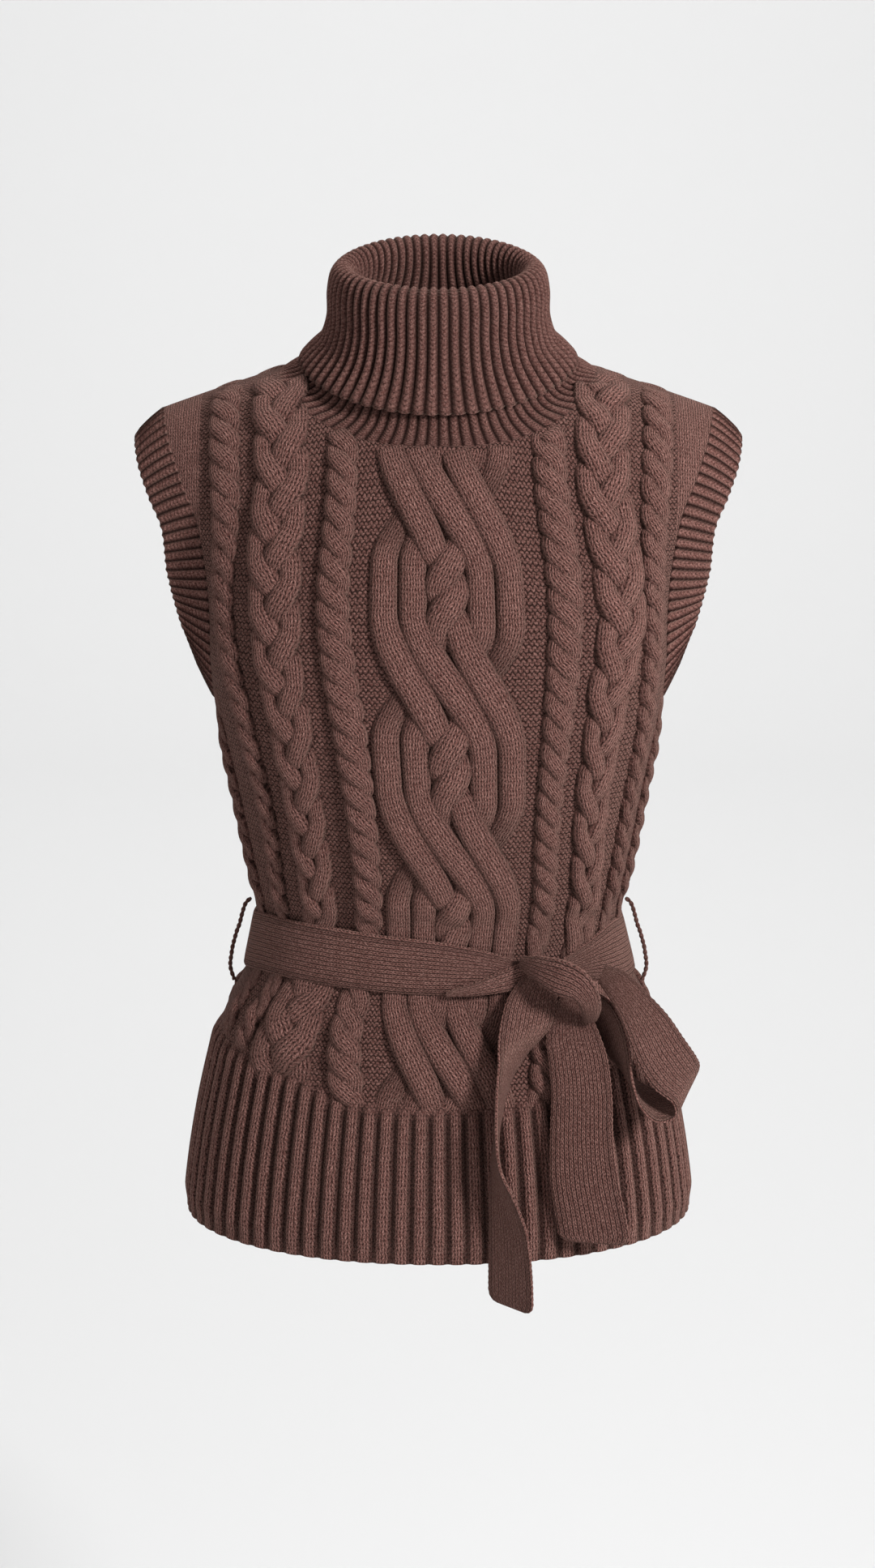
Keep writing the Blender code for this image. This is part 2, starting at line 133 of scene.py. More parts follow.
# ---- Cables. Lanes are places across a cable, and a strand moves from lane to lane.
# Each event of a pattern's repeat is (when, half its span, moves); each move is
# lane: (next lane, +1 when it passes over and -1 when it passes under). A strand that
# passes under takes only the given share of the span.
ROPE = dict(
    repeat=0.0177, lanes=(-0.0053, 0.0053), width=0.0136, height=0.006, columns=4,
    under_span=0.55, events=((0.5, 0.5, {0: (1, 1), 1: (0, -1)}),),
)
BRAID = dict(
    repeat=0.0345, lanes=(-0.0112, 0.0, 0.0112), width=0.0164, height=0.006, columns=4,
    under_span=0.65,
    events=((0.25, 0.44, {0: (1, 1), 1: (0, -1)}), (0.75, 0.44, {2: (1, 1), 1: (2, -1)})),
)
CENTRE = dict(
    repeat=0.124, lanes=(-0.044, -0.0235, -0.0062, 0.0062, 0.0235, 0.044),
    width=0.0203, height=0.0054, columns=5, under_span=0.8,
    events=(
        (0.0, 0.41, {0: (2, 1), 1: (4, 1), 3: (5, 1), 5: (3, -1), 4: (1, -1), 2: (0, -1)}),
        (0.37, 0.13, {3: (2, 1), 2: (3, -1)}),
        (0.58, 0.13, {3: (2, 1), 2: (3, -1)}),
    ),
)
STRAND_STEP = 0.0022
FEWEST_STEPS = 4
STRAND_SINK = 0.0022
STRAND_PLACES = (-1.0, -0.94, -0.78, -0.54, -0.27, 0.0, 0.27, 0.54, 0.78, 0.94, 1.0)
STRAND_POWER = 2.6
STRAND_EDGE_SHADE = 0.38
STRAND_SHADE_POWER = 1.6
PASS_POWER = 1.5
UNDER_SHADE = 0.55
OVER_LIFT = 0.003
OVER_SPREAD = 0.16
UNDER_DROP = 0.0044

# level, share of a cable's middle, size across
CENTRE_LINE = (
    (-0.33, 0.02, 1.0), (-0.25, 0.028, 1.0), (-0.18, 0.055, 1.0), (-0.11, 0.045, 1.0),
    (-0.05, 0.032, 1.0), (0.04, 0.025, 1.0), (0.12, 0.02, 1.0), (0.24, 0.012, 1.0),
)
INNER_LEFT = (
    (-0.33, -0.27, 1.2), (-0.265, -0.325, 1.15), (-0.16, -0.252, 0.98), (-0.08, -0.25, 1.02),
    (-0.038, -0.262, 1.06), (0.0, -0.287, 1.06), (0.03, -0.314, 1.04), (0.08, -0.328, 1.04),
    (0.24, -0.345, 1.1),
)
INNER_RIGHT = (
    (-0.33, 0.31, 0.95), (-0.265, 0.366, 0.92), (-0.163, 0.386, 0.86), (-0.12, 0.362, 0.86),
    (-0.06, 0.35, 0.88), (0.0, 0.362, 1.02), (0.04, 0.384, 1.12), (0.114, 0.388, 1.15),
    (0.24, 0.374, 1.2),
)
MAIN_LEFT = (
    (-0.33, -0.555, 1.5), (-0.255, -0.535, 1.35), (-0.172, -0.45, 0.82), (-0.11, -0.438, 0.82),
    (-0.06, -0.438, 0.84), (-0.02, -0.453, 0.89), (0.007, -0.475, 0.96), (0.038, -0.502, 1.08),
    (0.068, -0.535, 1.14), (0.12, -0.55, 1.14), (0.24, -0.57, 1.18),
)
MAIN_RIGHT = (
    (-0.33, 0.605, 1.4), (-0.255, 0.59, 1.25), (-0.169, 0.56, 0.8), (-0.126, 0.525, 0.78),
    (-0.084, 0.5, 0.78), (-0.044, 0.5, 0.8), (-0.005, 0.516, 0.92), (0.022, 0.556, 1.05),
    (0.053, 0.573, 1.12), (0.12, 0.576, 1.14), (0.24, 0.59, 1.18),
)
OUTER_LEFT = (
    (-0.33, -0.77, 0.9), (-0.166, -0.622, 0.64), (-0.102, -0.59, 0.64), (-0.05, -0.6, 0.7),
    (-0.005, -0.637, 0.84), (0.038, -0.705, 0.98), (0.086, -0.738, 1.05), (0.24, -0.758, 1.08),
)
OUTER_RIGHT = (
    (-0.33, 0.8, 0.9), (-0.18, 0.71, 0.62), (-0.1, 0.68, 0.62), (-0.047, 0.668, 0.68),
    (0.007, 0.672, 0.86), (0.038, 0.705, 0.98), (0.086, 0.75, 1.04), (0.24, 0.782, 1.08),
)
SIDE_LEFT = ((-0.33, -0.88, 0.8), (-0.18, -0.79, 0.66), (-0.03, -0.79, 0.7))
SIDE_RIGHT = ((-0.33, 0.9, 0.8), (-0.18, 0.85, 0.66), (-0.03, 0.84, 0.7))
# pattern, top level, bottom level, phase, fullness, middle
CABLES = (
    (CENTRE, 0.2, -0.322, 1.08, 1.0, CENTRE_LINE),
    (ROPE, 0.24, -0.318, 0.1, 1.05, INNER_LEFT),
    (ROPE, 0.24, -0.318, 0.55, 1.05, INNER_RIGHT),
    (BRAID, 0.238, -0.304, 0.3, 1.05, MAIN_LEFT),
    (BRAID, 0.238, -0.304, 0.55, 1.05, MAIN_RIGHT),
    (ROPE, 0.236, -0.296, 0.4, 0.9, OUTER_LEFT),
    (ROPE, 0.236, -0.296, 0.8, 0.9, OUTER_RIGHT),
    (ROPE, -0.022, -0.292, 0.2, 0.6, SIDE_LEFT),
    (ROPE, -0.022, -0.292, 0.7, 0.6, SIDE_RIGHT),
)
CABLE_FADE = 0.026
BELT_SLACK = 0.032
BELT_MIDDLE = -0.215
BELT_REACH = 0.06
CABLE_END = 0.25
# how much of a cable is left at the shoulder seam, and the length over which it swells
FRONT_SHOULDER = (0.3, 0.055)
BACK_SHOULDER = (0.2, 0.15)
NECK_FADE = 0.2
ARMHOLE_MARGIN = 0.01
CABLE_NARROWING = 0.62
CHEST_ARC = 0.235
BELT_PRESS = 0.62
# heights that the belt covers
BELT_BAND = (-0.448, -0.384)
BELT_BAND_EASE = 0.016

# ---- Collar. Rings run up from the neck seam, over the fold and down the outer layer.
# half width, front y, back y, front z, side z, back z
COLLAR_RINGS = (
    (0.099, -0.087, 0.068, -0.035, -0.003, 0.012),
    (0.088, -0.0865, 0.065, -0.021, 0.0035, 0.023),
    (0.072, -0.076, 0.061, 0.002, 0.02, 0.04),
    (0.062, -0.062, 0.057, 0.031, 0.042, 0.054),
    (0.059, -0.059, 0.055, 0.047, 0.056, 0.066),
    (0.061, -0.061, 0.058, 0.056, 0.065, 0.075),
    (0.067, -0.068, 0.065, 0.06, 0.068, 0.079),
    (0.073, -0.075, 0.072, 0.055, 0.063, 0.074),
    (0.0755, -0.078, 0.0745, 0.043, 0.05, 0.061),
    (0.0755, -0.0795, 0.0745, 0.023, 0.033, 0.044),
    (0.08, -0.084, 0.0755, 0.005, 0.018, 0.029),
    (0.089, -0.0905, 0.0775, -0.011, 0.01, 0.019),
    (0.0965, -0.0955, 0.08, -0.02, 0.0025, 0.012),
    (0.0958, -0.0948, 0.0793, -0.0222, 0.0005, 0.0098),
    (0.0938, -0.0928, 0.0773, -0.0208, 0.002, 0.0112),
    (0.09, -0.088, 0.074, -0.011, 0.009, 0.019),
)
# ring, share of the ribs' height: lower over the fold and at the edge
COLLAR_RELIEF = (
    (2.2, 0.8), (5.0, 0.75), (6.5, 0.5), (8.5, 0.8), (10.0, 1.0), (12.0, 1.0), (13.0, 0.7),
    (14.0, 0.3), (16.0, 0.1),
)
COLLAR_TILT_POWER = 1.3
# painted shade: the collar's colour is darkened all over, for the shade that it stands in
COLLAR_PAINTED_SHADE = 0.74
COLLAR_RIBS = 64
COLLAR_RIB_HEIGHT = 0.0036
COLLAR_STITCH_ROW = 0.0028
NECKBAND_RIBS = 84
NECKBAND_RIB_HEIGHT = 0.0022
NECKBAND_TOP_RING = 2.4
NECKBAND_ROWS = 14
# how far its ribs have swelled at its first and last rows
NECKBAND_SWELL = (0.25, 3.0)
FOLD_BOTTOM_RING = 2.2
COLLAR_ROW = 0.003
NECK_SAMPLES = 181
FOLD_SAMPLES = 400
RIB_CENTRING = 0.35
CORD_POWER = 1.25

# ---- Armhole bands
ARM_SAMPLES = 121
ARM_SPACING = 1.25
BAND_WIDTH = 0.028
BAND_CURL = 0.001
BAND_TURN_BACK = 0.5
BAND_NARROWING = 0.06
BAND_DROP = 0.88
BAND_DROP_START = -0.3
BAND_DROP_POWER = 1.3
BAND_UNDERARM_LIFT = 2.2
BAND_UNDERARM_POWER = 2.0
BAND_UNDERARM_TURN = 2.0
BAND_RIBS = 66
BAND_RIB_HEIGHT = 0.0024
BAND_ROW = 0.0024
BAND_THICKNESS = 0.005
BAND_TURN_STEPS = 7
BAND_INSIDE_ROWS = 9
BAND_EDGE_ROWS = 15
BAND_EDGE_RELIEF = 0.4

# ---- Belt
BELT = 0.0034
BELT_STAND_OFF = 0.0062
BELT_COLUMN = 0.0035
BELT_ROW = 0.0028
BELT_ACROSS = 33
EDGE_PLACE = 0.075
GROOVE_PLACE = 0.17
EDGE_SPREAD = 0.25
EDGE_FULLNESS = 0.25
EDGE_SHADE = 0.32
SCALLOP = 0.0005
SCALLOP_LENGTH = 0.0042
LAP_STEP = 0.01
# lap, top z, bottom z
BELT_LAPS = (
    (-3.52, -0.413, -0.429), (-3.4, -0.403, -0.433), (-3.28, -0.395, -0.441),
    (-3.0, -0.4, -0.447), (-2.7, -0.399, -0.445), (-2.0, -0.395, -0.441),
    (-1.3, -0.397, -0.443), (-1.0, -0.398, -0.444), (-0.75, -0.386, -0.433),
    (-0.45, -0.384, -0.431), (-0.2, -0.388, -0.433), (0.05, -0.394, -0.434),
    (0.2, -0.401, -0.432), (0.33, -0.41, -0.431), (0.45, -0.416, -0.429),
)
# x, y, z, width, turn about the vertical in degrees
TAIL_LEFT = (
    (0.072, -0.0935, -0.418, 0.024, 10), (0.066, -0.099, -0.434, 0.036, 10),
    (0.061, -0.111, -0.454, 0.042, 26), (0.0515, -0.12, -0.474, 0.037, 57),
    (0.045, -0.127, -0.494, 0.037, 75), (0.0415, -0.135, -0.52, 0.037, 86),
    (0.041, -0.139, -0.542, 0.038, 97), (0.0455, -0.142, -0.565, 0.041, 115),
    (0.049, -0.144, -0.588, 0.044, 127), (0.0505, -0.146, -0.618, 0.045, 132),
    (0.051, -0.146, -0.648, 0.045, 134),
)
TAIL_RIGHT = (
    (0.0945, -0.092, -0.424, 0.014, 0), (0.0945, -0.095, -0.435, 0.019, -1),
    (0.0935, -0.1, -0.447, 0.029, -3), (0.095, -0.106, -0.462, 0.039, -4),
    (0.098, -0.111, -0.476, 0.042, -5), (0.1005, -0.117, -0.5, 0.043, -6),
    (0.1005, -0.122, -0.53, 0.045, -8), (0.1025, -0.127, -0.56, 0.049, -9),
    (0.107, -0.1295, -0.585, 0.051, -10), (0.1105, -0.13, -0.606, 0.052, -10),
)
TAIL_CORNER = 0.009
TAIL_SAMPLES = 240

# The bow loop, by its rim: x, y, z, width, and the way that its width points from the rim,
# as a turn in plan and a rise, both in degrees
BOW_LOOP = (
    (0.11, -0.096, -0.431, 0.016, 130, -25),
    (0.121, -0.104, -0.437, 0.024, 125, -25),
    (0.13, -0.112, -0.452, 0.034, 120, -20),
    (0.134, -0.118, -0.47, 0.042, 112, -12),
    (0.136, -0.122, -0.489, 0.044, 100, -2),
    (0.142, -0.125, -0.507, 0.044, 90, 6),
    (0.153, -0.126, -0.517, 0.044, 82, 12),
    (0.165, -0.126, -0.514, 0.044, 74, 17),
    (0.164, -0.127, -0.503, 0.044, 62, 18),
    (0.151, -0.127, -0.492, 0.044, 42, 18),
    (0.14, -0.126, -0.476, 0.041, 33, 20),
    (0.133, -0.123, -0.459, 0.036, 32, 22),
    (0.127, -0.117, -0.444, 0.028, 32, 28),
    (0.119, -0.108, -0.431, 0.022, 42, 43),
    (0.112, -0.098, -0.423, 0.014, 56, 48),
)

# The knot's band: x, y, z, width, and the turn of its width in the X-Z plane in degrees
KNOT_BAND = (
    (0.06, -0.098, -0.409, 0.01, 72), (0.0665, -0.107, -0.409, 0.016, 73),
    (0.0742, -0.1155, -0.4095, 0.021, 74), (0.085, -0.123, -0.4118, 0.026, 70),
    (0.095, -0.126, -0.4155, 0.023, 54), (0.1025, -0.125, -0.4235, 0.018, 28),
    (0.106, -0.12, -0.4345, 0.015, 8), (0.106, -0.109, -0.446, 0.01, -6),
)
LOOP_SAMPLES = 260
KNOT_SAMPLES = 90
KNOT_THICKNESS = 0.0085
KNOT_FLATNESS = 3.6
BELT_FLATNESS = 8.0

# The turned-up edge of the belt beside the knot: lap, top z, bottom z
BELT_FOLD = (
    (0.03, -0.43, -0.4345), (0.14, -0.423, -0.434), (0.24, -0.415, -0.4325),
    (0.33, -0.4085, -0.43), (0.4, -0.406, -0.427),
)
FOLD_STAND_OFF = 0.0036

# ---- Thread loops, of two strands twisted round each other
THREAD_OFFSET = 0.000588
THREAD_RADIUS = 0.00105
THREAD_TWIST = 0.0042
THREAD_LIFT = 0.0015
THREAD_SAMPLES = 80
THREAD_SIDES = 8
# stand-off from the side seam, z
THREAD_LOOP = (
    (0.0022, -0.39), (0.007, -0.3935), (0.012, -0.403), (0.015, -0.415), (0.0155, -0.426),
    (0.014, -0.437), (0.01, -0.447), (0.0022, -0.454),
)

# ---- Stitch pattern, in stitches
# slot: (bump in metres, steepness and width of a leg, groove between columns, unevenness,
# painted shade in the gaps between the legs, darkening of the whole piece: painted shade on
# the rib knit, and the yarn cord's own darker colour)
STITCHES = {
    "cable_knit": (0.0013, 1.3, 1.04, 0.3, 0.62, 0.9, 1.0),
    "rib_knit": (0.0007, 0.9, 1.4, 0.3, 0.3, 0.8, 0.9),
    "belt_knit": (0.0014, 1.0, 1.22, 0.95, 0.35, 1.0, 0.9),
    "yarn_cord": (0.0004, 1.0, 1.6, 0.0, 0.3, 1.0, 0.5),
}
KNIT_LEG_LENGTH = 1.2
GROOVE_SHARPNESS = 5.0
PURL_STRETCH = 1.12
PURL_ROWS = 0.8
PURL_WIDTH = 0.96
PURL_LENGTH = 0.56
PURL_BEND = 0.16
FIBRE_BUMP = 0.5

# ---- Yarn
YARN = (0.135, 0.055, 0.046, 1.0)
# the yarn's colour in deepest painted shade, which the colour is mixed towards in gaps, grooves,
# hollows and under crossings; it also gives the yarn cord its own darker colour
YARN_SHADE_AND_DARK_TONE = (0.008, 0.0025, 0.002, 1.0)
YARN_LIGHT = (0.36, 0.19, 0.162, 1.0)
YARN_SHADER = {
    "Roughness": 0.95,
    "Specular IOR Level": 0.05,
    "Sheen Weight": 0.2,
    "Sheen Roughness": 0.45,
    "Sheen Tint": (0.85, 0.54, 0.44, 1.0),
}
# noise by its scale and detail: stitches that sway and drift, fibres, light flecks, patches
SWAY = (190.0, 2.0)
DRIFT = (260.0, 2.0)
FIBRE = (1500.0, 3.0)
FLECK = (900.0, 3.0)
PATCH = (60.0, 2.0)
DRIFT_SHARE = 1.4
FLECK_CONTRAST = 3.2
FLECK_LEVEL = 0.4
PATCH_STRENGTH = 0.2

# ---- Studio
FLOOR = -1.3
CURVE_START = 3.8
CURVE = 1.2
# first angle, last angle, points
CURVE_TURNS = (0.1, math.pi / 2, 12)
BACKDROP_REACH = 8.0
BACKDROP = (0.83, 0.83, 0.83, 1.0)
BACKDROP_ROUGHNESS = 0.9
WORLD_LIGHT = 0.36
# name: (place, what it points at, size, watts)
LIGHTS = {
    "key": ((1.75, -2.1, 1.05), (0.0, 0.0, -0.3), 0.7, 109.0),
    "fill": ((-1.7, -2.2, 1.8), (0.0, 0.0, -0.3), 1.8, 12.5),
    "top": ((0.0, 0.5, 1.5), (0.0, 0.0, -0.2), 1.0, 11.0),
    "wall": ((0.0, 2.7, 2.4), (0.0, 4.8, -0.3), 2.8, 64.0),
}
CAMERA_PLACE = (-0.0006, -2.8978, 0.471)
CAMERA_TARGET = (-0.0006, 0.0, -0.3055)
SENSOR = 36.0
LENS = 96.2


# ---- Curves and tables
def between(values, slopes, low, part, step=1.0):
    """The values at a part of the way from each low knot to the next, on a smooth curve."""
    value = (1 + 2 * part) * (1 - part) ** 2 * values[low]
    value += part * (1 - part) ** 2 * step * slopes[low]
    value += part**2 * (3 - 2 * part) * values[low + 1]
    value -= part**2 * (1 - part) * step * slopes[low + 1]
    return value


def read_table(rows, column, at):
    """One column of a table against its first column, on a smooth curve through the rows."""
    keys = np.array([row[0] for row in rows])
    values = np.array([row[column] for row in rows])
    at = np.clip(at, keys[0], keys[-1])
    low = np.clip(np.searchsorted(keys, at) - 1, 0, len(keys) - 2)
    step = keys[low + 1] - keys[low]
    return between(values, np.gradient(values, keys), low, (at - keys[low]) / step, step)


def on_curve(stations, at):
    """The values at places between numbered stations, on a smooth curve through them."""
    stations = np.array(stations)
    low = np.clip(at.astype(int), 0, len(stations) - 2)
    part = (at - low).reshape(-1, *[1] * (stations.ndim - 1))
    return between(stations, np.gradient(stations, axis=0), low, part)


def smooth_rows(rows, count):
    """A table read at evenly spaced places."""
    return on_curve(rows, np.linspace(0.0, len(rows) - 1.0, count))


def ease(share):
    """A smooth step from 0 to 1."""
    share = np.clip(share, 0.0, 1.0)
    return share * share * (3 - 2 * share)


def unit(vector):
    return vector / np.maximum(np.linalg.norm(vector, axis=-1, keepdims=True), 1e-12)


def lengths(points):
    """The distance along a line of points to each of them."""
    steps = np.linalg.norm(np.diff(points, axis=0), axis=-1)
    return np.concatenate([[0.0], np.cumsum(steps)])


def read_line(at, along, points, period=None):
    """Points of a line at some places along it."""
    return np.stack([np.interp(at, along, axis, period=period) for axis in points.T], axis=1)


# ---- Body form
def section_points(half_width, depth, power, shares):
    """Points on half of a rounded section, by their shares of the way from middle to side."""
    turn = np.linspace(0.0, math.pi / 2, SECTION_SAMPLES)
    x = half_width * np.sin(turn) ** (2 / power)
    y = depth * np.cos(turn) ** (2 / power)
    length = np.concatenate([[0.0], np.cumsum(np.hypot(np.diff(x), np.diff(y)))])
    at = np.abs(shares) * length[-1]
    return np.copysign(np.interp(at, length, x), shares), np.interp(at, length, y)


def body_row(front, shares, level):
    """Points on the cloth's middle surface along one level."""
    height = CHEST + min(level, 0.0)
    columns = (1, 2 if front else 3, 4)
    half_width, depth, power = (read_table(BODY_SECTIONS, column, height) for column in columns)
    x, y = section_points(half_width, depth, power, shares)
    z = np.full(len(shares), height)
    if level > 0.0:
        rise = level / ROLL
        roll_power = FRONT_ROLL_POWER if front else BACK_ROLL_POWER
        across = shares * PANEL_HALF_WIDTH
        taper = np.maximum(1.0 - np.abs(across / UPPER_TAPER) ** UPPER_POWER, 0.0)
        upper_y = depth * taper ** (1 / UPPER_POWER)
        x += (SHOULDER_SPREAD * across - x) * ease(2 * rise)
        y += (upper_y - y) * ease(2 * rise)
        turn = min(rise, 1.0) * math.pi / 2
        y *= max(math.cos(turn), 0.0) ** (2 / roll_power)
        ridge = RIDGE_TOP - RIDGE_SLOPE * (np.hypot(x, RIDGE_ROUNDING) - RIDGE_ROUNDING)
        z += (ridge - CHEST) * math.sin(turn) ** (2 / roll_power)
    return np.stack([x, -y if front else y, z], axis=1)


class BodySide:
    """The front or the back of the body form, read from a fine lattice."""

    def __init__(self, front):
        self.front = front
        self.neck_level = FRONT_NECK_LEVEL if front else BACK_NECK_LEVEL
        self.shares = np.linspace(-1.0, 1.0, LATTICE_SHARES)
        count = int(round((ROLL - LATTICE_BOTTOM) / LATTICE_LEVEL_STEP)) + 1
        self.levels = np.linspace(LATTICE_BOTTOM, ROLL, count)
        self.points = np.array([body_row(front, self.shares, level) for level in self.levels])
        across = np.gradient(self.points, axis=1)
        up = np.gradient(self.points, axis=0)
        self.normals = unit(np.cross(across, up)) * (1.0 if front else -1.0)
        steps = np.linalg.norm(np.diff(self.points, axis=1), axis=-1)
        self.half_arcs = steps.sum(axis=1) / 2

    def read(self, lattice, share, level):
        """The value of a lattice between its four nearest places."""
        column = (np.clip(share, -1.0, 1.0) + 1.0) / 2 * (len(self.shares) - 1)
        row = (np.clip(level, LATTICE_BOTTOM, ROLL) - LATTICE_BOTTOM) / LATTICE_LEVEL_STEP
        left = np.minimum(column.astype(int), len(self.shares) - 2)
        low = np.minimum(row.astype(int), len(self.levels) - 2)
        right_part = (column - left)[..., None]
        high_part = (row - low)[..., None]
        below = lattice[low, left] * (1 - right_part) + lattice[low, left + 1] * right_part
        above = lattice[low + 1, left] * (1 - right_part) + lattice[low + 1, left + 1] * right_part
        return below * (1 - high_part) + above * high_part

    def normal(self, share, level):
        return unit(self.read(self.normals, share, level))

    def place(self, share, level, lift):
        """Points that stand a distance outside the middle surface."""
        share, level, lift = np.broadcast_arrays(share, level, lift)
        return self.read(self.points, share, level) + lift[..., None] * self.normal(share, level)

    def half_arc(self, level):
        """The distance round the form from its middle to its side."""
        return np.interp(level, self.levels, self.half_arcs)

    def neck_norm(self, share, level):
        """Less than 1 inside the neck opening, 1 on its edge and more outside."""
        across = np.abs(share / NECK_SHARE)
        down = np.maximum(ROLL - level, 0.0) / (ROLL - self.neck_level)
        return (across**NECK_POWER + down**NECK_POWER) ** (1 / NECK_POWER)


# ---- Meshes from grids of points
def new_object(name, data):
    made = bpy.data.objects.new(name, data)
    bpy.context.scene.collection.objects.link(made)
    return made


def count_stitches(columns, along, row=ROW):
    """The UVs of a grid, in stitches, from its columns and the length along its rows."""
    return np.stack(np.broadcast_arrays(columns[None], along[:, None] / row), axis=-1)


class Surface:
    """Gathers grids of points into one smooth mesh with UVs that count stitches.

    purl is 1 where the cloth shows purl stitches, and shade is below 1 in its hollows.
    """

    def __init__(self):
        self.points = []
        self.faces = []
        self.uvs = []
        self.purl = []
        self.shade = []
        self.count = 0

    def add(
        self, grid, stitches, purl=0.0, shade=1.0, ring=False, tube=False, flip=False, keep=None
    ):
        """Adds a grid. A ring closes along its columns and a tube along its rows too."""
        rows, columns = grid.shape[:2]
        across = columns if ring else columns - 1
        row, column = np.mgrid[0 : rows if tube else rows - 1, 0:across]
        if keep is not None:
            row, column = row[keep], column[keep]
        row, column = row.ravel(), column.ravel()
        after = (column + 1) % columns
        above = (row + 1) % rows
        corners = [(row, column), (row, after), (above, after), (above, column)]
        places = [(row, column), (row, column + 1), (row + 1, column + 1), (row + 1, column)]
        if flip:
            corners.reverse()
            places.reverse()
        faces = np.stack([at * columns + side for at, side in corners], axis=1)
        self.faces.append(faces + self.count)
        self.uvs.append(np.stack([stitches[at, side] for at, side in places], axis=1))
        self.points.append(grid.reshape(-1, 3))
        self.purl.append(np.broadcast_to(purl, grid.shape[:2]).ravel())
        self.shade.append(np.broadcast_to(shade, grid.shape[:2]).ravel())
        self.count += rows * columns

    def build(self, name):
        """Makes the mesh, without the points that no face uses."""
        faces = np.concatenate(self.faces)
        used, faces = np.unique(faces, return_inverse=True)
        faces = faces.reshape(-1, 4)
        points = np.concatenate(self.points)[used]
        mesh = bpy.data.meshes.new(name)
        mesh.vertices.add(len(points))
        mesh.vertices.foreach_set("co", points.astype(np.float32).ravel())
        mesh.loops.add(faces.size)
        mesh.loops.foreach_set("vertex_index", faces.astype(np.int32).ravel())
        mesh.polygons.add(len(faces))
        mesh.polygons.foreach_set("loop_start", np.arange(0, faces.size, 4, dtype=np.int32))
        mesh.update(calc_edges=True)
        stitches = mesh.uv_layers.new(name="stitches")
        stitches.uv.foreach_set("vector", np.concatenate(self.uvs).astype(np.float32).ravel())
        for label, values in (("purl", self.purl), ("shade", self.shade)):
            layer = mesh.attributes.new(label, "FLOAT", "POINT")
            layer.data.foreach_set("value", np.concatenate(values)[used].astype(np.float32))
        mesh.shade_smooth()
        return new_object(name, mesh)


# ---- Ground
def rib_profile(columns):
    """The height of a hem rib, from 0 in its groove to 1 on top, by its place in columns."""
    place = columns / COLUMNS_PER_RIB
    from_middle = np.abs(place - np.floor(place) - 0.5) * 2
    flank, fullness = RIB_FLANK
    return (1 - np.clip(from_middle / RIB_SHARE, 0.0, 1.0) ** flank) ** fullness


def pressed(level):
    """How much of the relief is left where the belt presses on it."""
    height = CHEST + np.minimum(level, 0.0)
    low = ease((height - BELT_BAND[0] + BELT_BAND_EASE) / BELT_BAND_EASE)
    high = ease((BELT_BAND[1] + BELT_BAND_EASE - height) / BELT_BAND_EASE)
    return 1.0 - BELT_PRESS * low * high


def armhole_share(level):
    """The share of the half width that a panel reaches to."""
    return np.where(level > ARMHOLE[0][0], read_table(ARMHOLE, 1, level), 1.0)


def ground(name, side):
    """The purl ground of one panel, with the ribs and the turned edge of its hem."""
    shares = np.linspace(-1.0, 1.0, RIBS * RIB_SAMPLES + 1)
    columns = (shares + 1.0) / 2 * RIBS * COLUMNS_PER_RIB
    levels = np.linspace(HEM - CHEST, ROLL, int((ROLL - HEM + CHEST) / GROUND_ROW) + 1)
    share, level = np.meshgrid(shares, levels)
    arm = armhole_share(level)
    norm = side.neck_norm(share, level)
    outside = (np.abs(share) > arm + 1e-6) | (norm < 1.0)
    share = np.clip(share, -arm, arm)
    shrink = np.clip(norm, 1e-3, 1.0)
    share = share / shrink
    level = np.where(norm < 1.0, ROLL - (ROLL - level) / shrink, level)
    ribbed = ease((read_table(RIB_TOP, 1, np.abs(share)) - level) / RIB_FADE + 0.5)
    hemmed = HEM_RELIEF + (1 - HEM_RELIEF) * ease((level - HEM + CHEST) / HEM_RELIEF_EASE)
    profile = rib_profile(columns)
    lift = (GROUND_LIFT + RIB_LIFT * profile * ribbed * hemmed) * pressed(level)
    grid = side.place(share, level, lift)
    along = lengths(side.place(STITCH_COUNT_SHARE, levels, 0.0))
    gone = outside[:-1, :-1] & outside[1:, :-1] & outside[:-1, 1:] & outside[1:, 1:]
    rib_shade = GROOVE_SHADE + (1 - GROOVE_SHADE) * profile**RIB_SHADE_POWER
    plain = (np.abs(share) > PLAIN_STRIP[0]) & (level > PLAIN_STRIP[1])
    shade = np.where(plain, PLAIN_SHADE, PURL_SHADE + (rib_shade - PURL_SHADE) * ribbed)
    surface = Surface()
    surface.add(
        grid,
        count_stitches(columns, along),
        purl=(1.0 - ribbed * (profile > RIB_FOOT)) * ~plain,
        shade=shade,
        flip=not side.front,
        keep=~gone,
    )
    turn_hem(surface, side, shares, columns, lift[0] - GROUND_LIFT, shade[0])
    return surface.build(name)


def turn_hem(surface, side, shares, columns, relief, shade):
    """The hem's rounded lower edge and a strip of the inside of the cloth above it."""
    bottom = HEM - CHEST
    outer, inner = GROUND_LIFT + relief, -HEM_INSIDE_DEPTH
    middle, radius = (outer + inner) / 2, (outer - inner) / 2
    rows = [
        side.place(
            shares,
            bottom - HEM_TURN_DROP * math.sin(angle) * radius,
            middle + radius * math.cos(angle),
        )
        for angle in np.linspace(0.0, math.pi, HEM_TURN_STEPS)
    ]
    rows.append(side.place(shares, bottom + HEM_INSIDE, inner))
    grid = np.array(rows)
    stitches = count_stitches(columns, -lengths(grid[:, len(shares) // 2]))
    surface.add(grid, stitches, shade=shade, flip=side.front)


